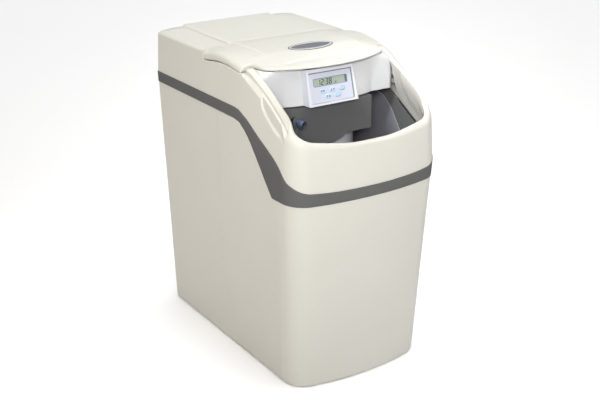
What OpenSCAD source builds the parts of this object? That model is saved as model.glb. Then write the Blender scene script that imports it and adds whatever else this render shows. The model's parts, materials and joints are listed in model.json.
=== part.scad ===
// Compact cabinet water softener, sizes in millimetres.
// Z is up, the front faces minus Y, the origin is the middle of the footprint on the floor.

/* [Cabinet] */
// width of the cabinet at the floor
base_w = 248; // [220:1:300]
// depth of the cabinet at the floor
base_d = 422; // [380:1:480]
// outward lean of the cabinet sides in degrees
side_lean = 2.06; // [1:0.01:3.5]
// forward lean of the cabinet front in degrees
front_lean = 3.46; // [1:0.01:6]
// how far the front bows forward
front_bow = 19; // [12:0.5:26]
// radius of the front corners
corner_r = 37; // [28:1:46]
// radius of the rear corners
rear_r = 8; // [5:0.5:14]
// thickness of the moulded walls
wall = 3.6; // [3:0.1:5]
// thickness of the cabinet floor
floor_t = 6; // [4:0.5:10]
// rounding of the bottom edge
foot_r = 6; // [3:0.5:10]

/* [Trim band] */
// drop from the side strips to the lower band edge at the rear
band_drop = 84; // [70:1:100]
// fall of the band from the rear to the front
band_dip = 100; // [85:1:120]
// height of the band
band_h = 18; // [12:0.5:24]
// how far the band stands proud of the walls
band_proud = 1; // [0.4:0.1:2]

/* [Top cover] */
// height of the side strips above the floor
body_h = 500; // [485:1:540]
// inward lean of the cover walls in degrees
cover_lean = 3; // [1:0.1:5]
// height of the front lip above the band at the front
lip_rise = 69; // [55:1:85]
// drop from the side strips to the seat of the lid wings
seat_drop = 11; // [8:0.5:16]
// drop from the side strips to the rear wall under the lid
rear_drop = 12; // [10:0.5:18]
// width of the side rails
rail_w = 20; // [15:0.5:26]
// width of the front lip
lip_w = 12; // [9:0.5:16]
// depth of the groove along the rails
groove_d = 1.6; // [0.8:0.1:2.5]
// thickness of the rails and strips
rail_t = 5; // [4:0.5:8]
// rise of the side strips towards the lid
strip_rise = 5; // [3:0.5:6]
// depth of the finger grips in the sides
grip_d = 6; // [3:0.5:8]

/* [Lid] */
// half width of the rear lid panel
lid_half = 87.5; // [75:0.5:95]
// gap around the lid
lid_gap = 0.6; // [0.4:0.1:1.2]
// thickness of the lid skin
lid_t = 3; // [2.5:0.1:4]
// height of the rear lid panel above the strips
lid_rise = 7.5; // [6:0.5:10]
// height of the arched part above the rear panel
arch_rise = 4.5; // [2:0.5:7]
// depth position of the crease across the lid
crease_y = 58; // [40:1:80]
// depth position of the front of the wings
wing_y = -68; // [-80:1:-55]
// depth position of the front edge of the lid
nose_y = -116; // [-124:1:-110]
// half width of the lid nose
nose_half = 110; // [100:1:112]
// drop of the nose edge below the strips
nose_drop = 5; // [3:0.5:8]
// length of the badge plate
badge_l = 82; // [60:1:100]
// width of the badge plate
badge_w = 32; // [24:1:40]
// thickness of the badge plate
badge_t = 2; // [1.5:0.1:3]

/* [Hinge] */
// distance of the hinge from the middle
hinge_x = 60; // [40:1:70]
// distance of the hinge axis from the rear face
hinge_back = 7; // [6.5:0.5:9]
// radius of the hinge barrels
barrel_r = 5; // [4:0.1:5.2]
// radius of the hinge pins
pin_r = 2.5; // [2:0.1:3]
// width of a lid knuckle
knuckle_w = 15; // [10:0.5:20]
// thickness of a bracket ear
ear_t = 4; // [3:0.5:6]
// height of a bracket plate
bracket_h = 20; // [14:1:26]

/* [Fascia and controls] */
// depth position of the fascia front
fascia_y = -98; // [-104:1:-92]
// thickness of the fascia
fascia_t = 3; // [2:0.5:4]
// gap between the fascia and the cover walls
fascia_gap = 1.2; // [0.6:0.1:2]
// sideways position of the controls
ctrl_x = -4; // [-12:1:12]
// width of the control face
ctrl_w = 88; // [82:1:100]
// height of the control face along its slope
ctrl_h = 55; // [52:0.5:57]
// backward tilt of the control face in degrees
ctrl_tilt = 15.3; // [10:0.1:18]
// how far the foot of the control face stands out
ctrl_out = 21; // [18:0.5:26]
// widening of the control housing at its root
ctrl_flare = 4; // [2:0.5:8]
// width of the rim around the control face
ctrl_rim = 4; // [3:0.5:6]
// width of the step that carries the overlay
ctrl_step = 3; // [2.5:0.5:3.5]
// depth of the overlay below the rim
ctrl_sink = 1.8; // [1:0.1:3]
// thickness of the overlay
overlay_t = 1.4; // [1:0.1:2]
// width of the display window
lcd_w = 63; // [50:1:66]
// height of the display window
lcd_h = 15; // [12:0.5:18]
// height of the display centre up the control face
lcd_up = 36.5; // [34:0.5:38]
// thickness of the display module
lcd_t = 4; // [3:0.5:6]
// length of a button
btn_l = 11; // [8:0.5:13]
// width of a button
btn_w = 7; // [5:0.5:8]
// spacing of the buttons
btn_pitch = 18; // [16:0.5:20]
// height of the upper button row up the control face
btn_up = 22; // [21:0.5:23]
// distance between the button rows
btn_rows = 9; // [8.5:0.5:9]
// travel of a button
btn_travel = 1; // [0.6:0.1:1.4]
// gap around a button
btn_gap = 0.35; // [0.2:0.05:0.6]
// thickness of the circuit board
board_t = 1.6; // [1:0.1:2.4]

/* [Vessel] */
// outer radius of the resin vessel
ves_r = 89; // [80:0.5:92]
// depth position of the vessel axis
ves_y = -10; // [-12:0.5:-4]
// drop from the side strips to the vessel shoulder
ves_drop = 132; // [122:1:150]
// rise of the vessel dome
ves_dome = 33; // [26:1:38]
// wall of the vessel
ves_wall = 3; // [2:0.5:5]
// outer radius of the vessel neck
neck_r = 30; // [26:0.5:34]
// height of the vessel neck
neck_h = 9; // [7:0.5:12]
// height of the vessel foot
shoe_h = 30; // [20:1:45]
// outer radius of the riser tube
riser_r = 13.5; // [11:0.5:15]
// height of the resin bed
bed_h = 220; // [150:5:250]

/* [Valve] */
// outer radius of the valve body
valve_r = 40; // [38:0.5:44]
// height of the valve body
valve_h = 66; // [60:1:70]
// radius of the rotor chamber
rotor_r = 28; // [26:0.5:30]
// thickness of the rotor disc
rotor_t = 16; // [10:1:22]
// radius of the rotor shaft
shaft_r = 5; // [4:0.5:6]
// clearance of turning parts
run_gap = 0.08; // [0.05:0.01:0.1]
// thickness of the valve head
head_t = 4; // [3:0.5:6]
// teeth of the drive gear
gear_teeth = 60; // [56:1:64]
// teeth of the motor pinion
pinion_teeth = 12; // [12:1:16]
// gear module
gear_m = 1.5; // [1.4:0.05:1.6]
// width of the gears
gear_t = 7; // [5:0.5:9]
// gap between the drive motor and the valve body
motor_gap = 0.6; // [0.4:0.1:2]
// length of the drive motor
motor_h = 26; // [20:1:32]
// outer radius of the side ports
port_r = 15; // [14:0.5:17]
// bore radius of the side ports
port_bore = 10; // [9:0.5:11]
// reach of the side ports
port_x = 46; // [45:0.5:50]
// distance of the rear pipes from the side of the base
pipe_in = 20; // [18:0.5:24]
// front of the manifold
mani_y = -92; // [-96:1:-86]
// height of the manifold
mani_h = 24; // [20:1:28]

/* [Valve cover] */
// depth position of the valve cover front
shroud_y = -106; // [-110:0.5:-104]
// distance of the cover's left edge from the end of the manifold
shroud_in = 9; // [6:0.5:12]
// right edge of the valve cover
shroud_w = 76; // [66:1:86]
// top of the valve cover below the fascia edge
shroud_gap = 2; // [1:0.5:4]
// height of the valve cover
shroud_h = 53.5; // [48:0.5:58]
// radius of the lobe under the valve cover
lobe_r = 60; // [50:1:70]
// drop of the lobe below the valve cover
lobe_drop = 12.5; // [8:0.5:16]
// depth of the valve cover
shroud_d = 26; // [22:1:30]
// wall of the valve cover
shroud_t = 2.5; // [2:0.1:3.5]
// outer radius of the drain fitting
drain_r = 8.5; // [7:0.5:10]
// bore radius of the drain fitting
drain_bore = 5; // [4:0.5:6]
// length of the drain fitting in front of the manifold
drain_l = 22; // [18:1:28]

/* [Plumbing] */
// radius of the water pipes
pipe_r = 11; // [9:0.5:12]
// bore radius of the water pipes
pipe_bore = 8; // [6:0.5:9]
// bend radius of the water pipes
pipe_bend = 28; // [26:0.5:30]
// radius of the inlet and outlet spigots
spigot_r = 13.2; // [11:0.1:14]
// length of the inlet and outlet spigots behind the cabinet
spigot_l = 24; // [18:1:32]
// radius of the inner flange of the rear fittings
flange_r = 18; // [16:0.5:19]
// length of the inner tails of the rear fittings
port_tail = 14; // [12:1:18]
// thickness of flanges and nuts
nut_t = 6; // [4:0.5:9]
// radius of the overflow spigot
over_r = 8; // [6:0.5:10]
// drop from the side strips to the overflow fitting
over_drop = 160; // [130:1:200]
// sideways position of the overflow fitting
over_x = 60; // [40:1:80]
// bore radius of the overflow spigot
over_bore = 5.5; // [4:0.5:6]
// length of the overflow spigot behind the cabinet
over_l = 30; // [20:1:40]
// how much wider the inner flange of the overflow fitting is than its spigot
over_flange = 8; // [6:0.5:10]
// length of the inner tail of the overflow fitting
over_tail = 6; // [4:0.5:10]
// how much wider the thread of a rear fitting is than its spigot
thread_step = 1.5; // [1:0.1:2.5]
// how much wider a nut is than its thread
nut_add = 5; // [4:0.5:7]
// sideways position of the power inlet
jack_x = 20; // [-30:1:36]
// radius of the power inlet
jack_r = 6; // [5:0.5:8]
// rim of the power inlet inside the wall
jack_rim = 4; // [3:0.5:6]
// bore radius of the power inlet
jack_bore = 2.8; // [2:0.1:3.5]
// depth of the power inlet bore
jack_deep = 9; // [7:0.5:9.5]
// how far the power inlet stands out
jack_out = 3; // [1:0.5:4]
// gap between a rear fitting and its hole
hole_gap = 0.5; // [0.3:0.1:0.8]

/* [Brine side] */
// distance of the brine well axis from the cabinet side
well_side = 44; // [40:1:54]
// distance of the brine well axis from the rear face
well_back = 54.5; // [44:0.5:70]
// outer radius of the brine well
well_r = 30; // [28:0.5:34]
// wall of the brine well
well_t = 2.5; // [2:0.1:3.5]
// drop from the side strips to the top of the brine well
well_drop = 70; // [67:0.5:71]
// radius of the brine tube
tube_r = 5; // [4:0.5:6]
// distance of the brine tube from the well axis
tube_off = 12; // [10:1:16]
// bend radius of the brine elbow
tube_bend = 20; // [16:1:24]
// radius of the foot of the brine pickup
pick_r = 14; // [12:0.5:18]
// height of the foot of the brine pickup
pick_foot = 60; // [40:1:75]
// width of the pickup head
pick_w = 24; // [20:1:28]
// height of the pickup head
pick_h = 20; // [16:1:24]
// radius of the pickup stem
stem_r = 5; // [4:0.5:6]
// radius of the float
float_r = 20; // [16:0.5:22]
// height of the float
float_h = 40; // [30:1:50]
// height of the float stop
stop_z = 120; // [90:1:160]
// travel of the float
float_travel = 150; // [100:5:200]
// height of the salt platform
plat_z = 48; // [36:1:60]
// thickness of the salt platform
plat_t = 4; // [3:0.5:6]
// radius of the holes in the salt platform
plat_hole = 4; // [3:0.5:5]
// sideways spacing of the holes in the salt platform
hole_step = 16; // [14:1:20]
// spacing of the rows of holes in the salt platform
hole_rows = 20; // [16:1:24]
// radius of a platform leg
leg_r = 7; // [5:0.5:9]
// gap around the salt platform
plat_gap = 8; // [6:0.5:12]

/* [Fasteners] */
// radius of a screw shank
screw_r = 2; // [1.5:0.1:2.5]
// radius of a screw head
head_r = 4.2; // [3.5:0.1:5]
// height of a screw head
head_h = 2.4; // [1.5:0.1:3]
// length of a screw shank
screw_l = 9; // [7:0.5:11]

/* [Hidden] */
$fn = 64;
// small overlap of joined shapes, reach of cuts past a face, gap of pieces that slip together
eps = 0.01;
past = 1;
fit = 0.3;
band_rear_z = body_h - band_drop;
band_front_z = band_rear_z - band_dip;
rear_y = (base_d + band_front_z * tan(front_lean)) / 2;
half_d = rear_y;
band_top = band_rear_z + band_h;
front_top = band_front_z + band_h;
lip_z = front_top + lip_rise;
seat_z = body_h - seat_drop;
rear_z = body_h - rear_drop;
hinge_y = rear_y - hinge_back;
panel_z = body_h + lid_rise;
hinge_z = panel_z - lid_t - barrel_r - lid_gap;
fascia_lift = 1;
fascia_z = band_top + fascia_lift;
ves_sh = body_h - ves_drop;
valve_lift = 1;
valve_z = ves_sh + ves_dome + valve_lift;
neck_z = ves_sh + ves_dome + neck_h;
head_z = valve_z + valve_h;
port_skin = 1;
port_z = head_z - port_r - port_skin;
chamber_floor = 12;
chamber_z = neck_z + chamber_floor;
gear_lift = 2;
gear_z = head_z + head_t + gear_lift;
mesh_gap = 0.12;
gear_dist = gear_m * (gear_teeth + pinion_teeth) / 2 + mesh_gap;
motor_y = ves_y + gear_dist;
motor_r = gear_dist - valve_r - motor_gap;
pipe_x = base_w / 2 - pipe_in;
// the meter and strainer housings span from the valve to the elbows
meter_l = pipe_x - port_x - pipe_bend;
mani_lift = 2;
mani_z = valve_z + mani_lift;
well_x = well_side - base_w / 2;
well_y = rear_y - well_back;
well_h = body_h - well_drop;
tube_x = well_x - tube_off;
// the manifold reaches left to the brine elbow
mani_x = -tube_x - tube_bend;
shroud_l = mani_x - shroud_in;
drain_in = 1.5;
drain_x = -mani_x + drain_r + drain_in;
drain_z = mani_z + drain_r;
over_z = body_h - over_drop;

shell_white = [0.93, 0.92, 0.88];
trim_grey = [0.38, 0.38, 0.38];
dark_grey = [0.34, 0.34, 0.35];
blue_grey = [0.55, 0.63, 0.72];
button_blue = [0.36, 0.72, 0.94];
pipe_grey = [0.6, 0.6, 0.62];

// Stations around the plan, from the rear middle by the left side to the front middle.
// rear stations are shares of the rear width, side stations are shares of the side length
// the rear wall rises beside the lid over a short slope
rise_run = 3;
rear_flat = half_w(band_top) - rear_r;
rear_at = [0, (lid_half + lid_gap) / rear_flat, (lid_half + rise_run) / rear_flat];
function side_share(y) = (rear_y - rear_r - y) / (rear_y - rear_r - corner_y(band_top));
side_at = [0.2, side_share(crease_y + 2), side_share(crease_y + 0.4), 0.49, 0.58, 0.64, 0.6725, 0.7,
  0.735, 0.768, 0.801, 0.834, 0.866, 0.904, 0.93, 0.962, 0.983];
n_rear = len(rear_at);
n_rc = 4;
n_side = len(side_at);
n_cor = 9;
n_bow = 6;
half_n = n_rear + n_rc + n_side + n_cor + n_bow - 1;
full_n = 2 * half_n;

// half width, front position and corner centre of the drafted outline at a height
function half_w(z) = base_w / 2 + z * tan(side_lean);
function front_y(z) = rear_y - base_d - z * tan(front_lean);
function bow_r(z) = (pow(half_w(z), 2) + pow(front_bow, 2)) / (2 * front_bow);
function bow_y(z) = front_y(z) + bow_r(z);
function corner_x(z) = half_w(z) - corner_r;
function corner_y(z) = bow_y(z) - sqrt(pow(bow_r(z) - corner_r, 2) - pow(corner_x(z), 2));
function bow_a(z) = atan2(corner_x(z), bow_y(z) - corner_y(z));

// point and outward direction of a station on the left half
function left_at(i, z) =
  i < n_rear ? [[-rear_at[i] * (half_w(z) - rear_r), rear_y], [0, 1]] :
  i < n_rear + n_rc ?
    let (a = 90 + 90 * (i - n_rear) / (n_rc - 1))
    [[rear_r - half_w(z) + rear_r * cos(a), rear_y - rear_r + rear_r * sin(a)], [cos(a), sin(a)]] :
  i < n_rear + n_rc + n_side ?
    let (s = side_at[i - n_rear - n_rc], y0 = rear_y - rear_r)
    [[-half_w(z), y0 + (corner_y(z) - y0) * s], [-1, 0]] :
  i < n_rear + n_rc + n_side + n_cor ?
    let (a = 180 + (90 - bow_a(z)) * (i - n_rear - n_rc - n_side) / (n_cor - 1))
    [[corner_r * cos(a) - corner_x(z), corner_y(z) + corner_r * sin(a)], [cos(a), sin(a)]] :
    let (a = 270 - bow_a(z) * (1 - (i + 1 - n_rear - n_rc - n_side - n_cor) / n_bow))
    [[bow_r(z) * cos(a), bow_y(z) + bow_r(z) * sin(a)], [cos(a), sin(a)]];
function at(i, z) =
  i <= half_n ? left_at(i, z) :
  let (q = left_at(full_n - i, z)) [[-q[0][0], q[0][1]], [-q[1][0], q[1][1]]];
function inset(i, z, t) = let (q = at(i, z)) [q[0][0] - q[1][0] * t, q[0][1] - q[1][1] * t, z];
function ref_y(i) = at(i, front_top)[0][1] / half_d;

// shapes of the band edges and of the cover crest, depth share against height share
upper_edge = [[-1, 0], [-0.973, 0.01], [-0.928, 0.05], [-0.882, 0.11], [-0.833, 0.18], [-0.765, 0.337],
  [-0.697, 0.455], [-0.593, 0.584], [-0.475, 0.723], [-0.357, 0.88], [-0.294, 0.94], [-0.244, 0.985],
  [-0.19, 1]];
lower_edge = [[-0.661, 0], [-0.57, 0.24], [-0.457, 0.55], [-0.344, 0.83], [-0.294, 0.91],
  [-0.249, 0.97], [-0.181, 1]];
crest_edge = [[-1, 0], [-0.968, 0.04], [-0.932, 0.075], [-0.896, 0.104], [-0.86, 0.145], [-0.833, 0.19],
  [-0.805, 0.27], [-0.76, 0.4], [-0.697, 0.52], [-0.62, 0.653], [-0.543, 0.77], [-0.466, 0.85],
  [-0.362, 0.948], [-0.299, 1]];
function upper_z(i) = front_top + (band_top - front_top) * lookup(ref_y(i), upper_edge);
function lower_z(i) = band_front_z + (band_rear_z - band_front_z) * lookup(ref_y(i), lower_edge);
function is_rear(i) = min(i, full_n - i) < n_rear - 1;
function is_strip(i) = min(i, full_n - i) < n_rear + n_rc + 2;
strip_edge = 1;
function crest_z(i) =
  is_rear(i) ? rear_z :
  is_strip(i) ? body_h + strip_edge :
  lip_z + (seat_z - lip_z) * lookup(ref_y(i), crest_edge);
// share of the rail section, one along the sides, falling to the lip at the front
function rail_share(i) = is_strip(i) ? 0 : lookup(ref_y(i), [[-0.95, 0], [-0.84, 1]]);
function is_back(i) = min(i, full_n - i) < n_rear + n_rc;
function flange_w(i) =
  is_back(i) ? wall :
  is_strip(i) ? lip_w :
  lip_w + (rail_w - lip_w) * rail_share(i);
// depth of the finger grip at a station
function grip(i) =
  is_strip(i) ? 0 : grip_d * lookup(ref_y(i), [[-0.79, 0], [-0.74, 1], [-0.54, 1], [-0.47, 0]]);
// a point of the cover section: inward share of the flange, height below the crest
function cover_pt(i, t, z) =
  let (zu = upper_z(i), q = at(i, zu), lean = tan(cover_lean) * (1 - max(0, q[1][1])),
    s = t + max(0, z - zu) * lean)
  [q[0][0] - q[1][0] * s, q[0][1] - q[1][1] * s, z];

// closed skin through rings of points; a set flip turns the diagonals of that strip
module loft(rings, flips, wrap) {
  n = len(rings[0]);
  m = len(rings);
  last = wrap ? m - 1 : m - 2;
  strips = [for (k = [0:last], i = [0:n - 1]) each
    let (a = k * n + i, b = k * n + (i + 1) % n, d = ((k + 1) % m) * n + i,
      c = ((k + 1) % m) * n + (i + 1) % n)
    flips[k] ? [[a, d, b], [b, d, c]] : [[a, c, b], [a, d, c]]];
  // the first and the last ring close as fans round a middle point
  function mid(r) = [for (k = [0:2]) (r[0][k] + r[n / 2][k]) / 2];
  caps = wrap ? [] : [for (i = [0:n - 1]) each
    [[i, (i + 1) % n, m * n], [(m - 1) * n + (i + 1) % n, (m - 1) * n + i, m * n + 1]]];
  mids = wrap ? [] : [mid(rings[0]), mid(rings[m - 1])];
  polyhedron(points = concat([for (r = rings) each r], mids), faces = concat(strips, caps), convexity = 8);
}

module cabinet_skin() {
  all = [0:full_n - 1];
  loft([
    [for (i = all) inset(i, 0, foot_r)],
    [for (i = all) inset(i, foot_r * 0.3, foot_r * 0.3)],
    [for (i = all) inset(i, foot_r, 0)],
    [for (i = all) inset(i, lower_z(i), 0)],
    [for (i = all) inset(i, lower_z(i), wall)],
    [for (i = all) inset(i, floor_t + foot_r, wall)],
    [for (i = all) inset(i, floor_t, wall + foot_r / 2)]
  ], [0, 0, 0, 0, 0, 0], false);
}

module cabinet_shell() {
  color(shell_white)
  difference() {
    cabinet_skin();
    rear_hole(over_x, over_z, over_r + thread_step + hole_gap);
  }
}

module trim_band() {
  all = [0:full_n - 1];
  lip = 1.2 * band_proud;
  color(trim_grey)
  loft([
    [for (i = all) inset(i, lower_z(i), 0)],
    [for (i = all) inset(i, lower_z(i) + lip, -band_proud)],
    [for (i = all) inset(i, upper_z(i) - lip, -band_proud)],
    [for (i = all) inset(i, upper_z(i), 0)],
    [for (i = all) inset(i, upper_z(i), wall)],
    [for (i = all) inset(i, lower_z(i), wall)]
  ], [0, 0, 0, 0, 0, 1], true);
}

// heights of the lines of the cover section below the crest
grip_low = 9;
grip_high = 4;
edge_fall = 1.2;
inner_fall = 1.5;
under_h = 3;
module cover_skin() {
  all = [0:full_n - 1];
  function c(i, t, dz) = cover_pt(i, t * flange_w(i), crest_z(i) - dz);
  function g(i) = groove_d * rail_share(i);
  loft([
    [for (i = all) cover_pt(i, 0, upper_z(i))],
    [for (i = all) cover_pt(i, grip(i) * 0.6, upper_z(i) + 0.55 * (crest_z(i) - upper_z(i)))],
    [for (i = all) cover_pt(i, grip(i), crest_z(i) - grip_low)],
    [for (i = all) cover_pt(i, grip(i) * 0.4, crest_z(i) - grip_high)],
    [for (i = all) c(i, 0.08, edge_fall)],
    [for (i = all) c(i, 0.2, 0)],
    [for (i = all) c(i, 0.38, 0)],
    [for (i = all) c(i, 0.46, g(i))],
    [for (i = all) c(i, 0.56, g(i))],
    [for (i = all) c(i, 0.64, 0)],
    [for (i = all) c(i, 0.85, 0)],
    [for (i = all) c(i, 0.97, inner_fall)],
    [for (i = all) c(i, 1, rail_t)],
    [for (i = all)
      cover_pt(i, wall + (is_back(i) ? 0 : max(grip(i), past)), crest_z(i) - rail_t - under_h)],
    [for (i = all) cover_pt(i, wall + grip(i), crest_z(i) - rail_t - 2 * under_h + past)],
    [for (i = all) cover_pt(i, wall + grip(i) * 0.6, upper_z(i) + 0.5 * (crest_z(i) - upper_z(i)))],
    [for (i = all) cover_pt(i, wall, upper_z(i))]
  ], [0, 0, 0, 0, 0, 0, 0, 0, 0, 0, 0, 0, 0, 0, 0, 0, 1], true);
}
// half width of the cover walls at a height, behind the band curve and at any depth
function cover_half(z) = half_w(band_top) - (z - band_top) * tan(cover_lean);
function wall_half(y, z) =
  let (zu = front_top + (band_top - front_top) * lookup(y / half_d, upper_edge))
  half_w(zu) - (z - zu) * tan(cover_lean);
// rib that carries an end of the fascia
rib_lift = 6;
rib_z = fascia_z + rib_lift;
rib_h = 26;
rib_in = 16;
rib_t = 10;
rib_x = wall_half(fascia_y + rib_t, rib_z + rib_h) - wall;

// strip beside the lid, from the cover edge up to the lid panel
module cover_strip() {
  out = cover_half(body_h) - rail_t;
  in = lid_half + lid_gap;
  rim_y = rear_y - wall / 2;
  top = body_h + strip_rise;
  bevel = 1;
  translate([0, rim_y, 0])
    rotate([90, 0, 0])
      linear_extrude(rim_y - crease_y - past)
        polygon([[in, top - rail_t - bevel], [out, body_h + 2 * strip_edge - rail_t],
          [out, body_h + 0.9 * strip_edge], [in + (out - in) / 2, body_h + strip_rise * 0.72],
          [in + bevel, top], [in, top - bevel]]);
}

module rear_hole(x, z, r) {
  translate([x, rear_y, z])
    rotate([90, 0, 0])
      cylinder(h = 6 * wall, r = r, center = true);
}

module screw_spots() {
  for (s = [-1, 1], k = [0.25, 0.75])
    translate([s * (rib_x - rib_in / 2), fascia_y, rib_z + rib_h * k])
      rotate([90, 0, 0])
        children();
}

module top_cover() {
  color(shell_white)
  difference() {
    union() {
      cover_skin();
      for (s = [0, 1])
        mirror([s, 0, 0]) {
          cover_strip();
          translate([rib_x - rib_in, fascia_y + fascia_t, rib_z])
            cube([rib_in + wall / 2, rib_t, rib_h]);
        }
    }
    for (s = [-1, 1])
      rear_hole(s * pipe_x, port_z, spigot_r + thread_step + hole_gap);
    rear_hole(jack_x, port_z, jack_r + hole_gap);
    screw_spots()
      cylinder(h = 2 * (fascia_t + rib_t + past), r = screw_r + fit, center = true);
  }
}

// height of the lid skin above the strips, arched in front of the crease
arch = [[-0.6, -1.9], [-0.525, -1.7], [-0.443, -1.25], [-0.362, -0.6], [-0.303, -0.05], [-0.262, 0.25],
  [-0.213, 0.6], [-0.136, 0.92], [-0.06, 1], [0.03, 0.97], [0.104, 0.75], [0.18, 0.35], [0.25, 0.04],
  [0.27, 0], [1, 0]];
// the front edge is drawn back towards the wings, with a notch beside the nose
nose_step = 14;
function nose_edge(x) =
  let (a = abs(x))
  a <= nose_half - 1 ? nose_y + (wing_y - nose_y - nose_step) * pow(a / nose_half, 2.4) :
  wing_y + lookup(a - nose_half, [[-1, -12], [0.5, 8], [3, 12], [7, 6], [11, 0]]);
function ease(t) = t * t * (3 - 2 * t);
lid_crown = 3;
wing_fall = 5;
wing_run = 40;
nose_run = 40;
function lid_top(x, y) =
  let (base = panel_z + arch_rise * lookup(y / half_d, arch) - lid_crown * pow(x / half_w(body_h), 2)
      - wing_fall * max(0, (abs(x) - lid_half) / wing_run) * lookup(y / half_d, [[0.1, 0], [0.25, 1]]),
    e = min(1, max(0, (y - nose_edge(x)) / nose_run)),
    nose = abs(x) < nose_half ? 1 : 0)
  nose * (1 - ease(e)) * (body_h - nose_drop) + (1 - nose * (1 - ease(e))) * base;
wing_half = cover_half(seat_z) - lid_gap;
cols_r = [nose_half - 18, nose_half - 1.5, nose_half + 0.5, nose_half + 3, nose_half + 7, nose_half + 11,
  wing_half - 5, wing_half - 2, wing_half - 0.6, wing_half];
mid_step = (nose_half - 35) / 5;
cols = concat([for (k = [len(cols_r) - 1:-1:0]) -cols_r[k]], [for (k = [-5:5]) mid_step * k], cols_r);
rows = [0, 0.03, 0.1, 0.18, 0.27, 0.36, 0.45, 0.54, 0.63, 0.7, 0.76, 0.82, 0.88, 0.93, 0.975, 1];
function side_fall(x) =
  let (d = wing_half - abs(x))
  d > 4 ? 0 : lookup(d, [[0, 5], [0.6, 2.6], [2, 0.8], [5, 0]]);
function lid_row(v, x) = crease_y - lid_gap + v * (nose_edge(x) - crease_y + lid_gap);
function skirt_z(x) = abs(x) > nose_half ? seat_z + lid_gap : body_h - nose_drop - lid_t;

// skin over a grid of points with its own thickness and a turned down edge
module sheet(top, low) {
  n = len(top[0]);
  m = len(top);
  k = n * m;
  grid = [for (r = [0:m - 2], c = [0:n - 2]) each
    let (a = r * n + c, b = a + 1, d = a + n, e = d + 1)
    [[a, b, d], [b, e, d], [k + a, k + d, k + b], [k + b, k + d, k + e]]];
  ends = [for (c = [0:n - 2]) each
    let (a = c, b = c + 1, d = (m - 1) * n + c, e = d + 1)
    [[a, k + a, b], [b, k + a, k + b], [d, e, k + d], [e, k + e, k + d]]];
  sides = [for (r = [0:m - 2]) each
    let (a = r * n, b = a + n, d = a + n - 1, e = d + n)
    [[a, b, k + a], [b, k + b, k + a], [d, k + d, e], [e, k + d, k + e]]];
  polyhedron(points = concat([for (r = top) each r], [for (r = low) each r]),
    faces = concat(grid, ends, sides), convexity = 8);
}

module lid_front() {
  last = len(rows) - 1;
  function z_top(x, y) = lid_top(x, y) - side_fall(x);
  function edge(x, k) = k == 0 || k == last || wing_half - abs(x) < 1.5;
  sheet(
    [for (v = rows) [for (x = cols) let (y = lid_row(v, x)) [x, y, z_top(x, y)]]],
    [for (k = [0:last]) [for (x = cols) let (y = lid_row(rows[k], x), t = z_top(x, y) - lid_t)
      [x, y, edge(x, k) ? min(t, skirt_z(x)) : t]]]);
}

module lid_rear() {
  xs = [for (k = [-4:4]) k / 4 * (lid_half - lid_gap)];
  y1 = rear_y - lid_gap;
  ys = [y1, y1 - 3, crease_y + 30, crease_y - 6];
  // the panel is crowned across and falls at its rear edge
  function crown(x, y) = 1 - pow(x / lid_half, 2) - (y == y1 ? 1 : 0);
  sheet(
    [for (y = ys) [for (x = xs) [x, y, min(panel_z, lid_top(x, y)) + crown(x, y)]]],
    [for (y = ys) [for (x = xs) [x, y, panel_z - lid_t]]]);
}

// frame of the badge on the sloping lid
badge_y = -46;
badge_tilt = 8;
badge_sink = 1.3;
module on_badge() {
  translate([0, badge_y, lid_top(0, badge_y) - badge_sink])
    rotate([badge_tilt, 0, 0])
      children();
}
function oval(l, w) = [for (k = [0:39]) [l / 2 * cos(9 * k), w / 2 * sin(9 * k)]];

module lid() {
  color(shell_white)
  difference() {
    union() {
      lid_front();
      lid_rear();
    }
    on_badge()
      linear_extrude(5 * badge_t)
        polygon(oval(badge_l + lid_gap, badge_w + lid_gap));
  }
}

module lid_badge() {
  color([0.6, 0.62, 0.63])
  on_badge()
    linear_extrude(badge_t)
      polygon(oval(badge_l, badge_w));
}

module hinge_spots() {
  for (s = [-1, 1])
    translate([s * hinge_x, hinge_y, hinge_z])
      children();
}

module along_x(h, r) {
  rotate([0, 90, 0])
    cylinder(h = h, r = r, center = true);
}

module lid_knuckles() {
  color(shell_white)
  hinge_spots()
    difference() {
      union() {
        along_x(knuckle_w, barrel_r);
        translate([-knuckle_w / 2, -barrel_r, 0])
          cube([knuckle_w, 2 * barrel_r, panel_z - lid_t - hinge_z]);
      }
      along_x(knuckle_w + 2 * past, pin_r + run_gap);
    }
}

ear_gap = 0.4;
bracket_low = 2;
bracket_span = knuckle_w + 2 * (ear_t + ear_gap);
module hinge_brackets() {
  back = hinge_back - wall;
  span = bracket_span;
  drop = hinge_z - rear_z + bracket_low + bracket_h;
  color(shell_white)
  hinge_spots()
    difference() {
      union() {
        translate([-span / 2, back - ear_t, -drop])
          cube([span, ear_t, bracket_h]);
        for (s = [-1, 1])
          translate([s * (span - ear_t) / 2, 0, 0]) {
            along_x(ear_t, barrel_r);
            translate([-ear_t / 2, -barrel_r, -drop])
              cube([ear_t, barrel_r + back, drop - barrel_r]);
            translate([-ear_t / 2, -barrel_r, -barrel_r - eps])
              cube([ear_t, 2 * barrel_r, barrel_r + eps]);
          }
      }
      along_x(span + 2 * past, pin_r);
      translate([-span, back, -hinge_z + rear_z - past])
        cube([2 * span, 3 * barrel_r, hinge_z - rear_z - barrel_r + past]);
    }
}

module hinge_pins() {
  color(pipe_grey)
  hinge_spots()
    along_x(bracket_span, pin_r);
}

// frame of the tilted control face: X across, Y up the face, Z out of it
module on_panel() {
  translate([ctrl_x, fascia_y - ctrl_out, fascia_z])
    rotate([90 - ctrl_tilt, 0, 0])
      children();
}
ctrl_in = ctrl_rim + ctrl_step;
ctrl_lift = 1;

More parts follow.
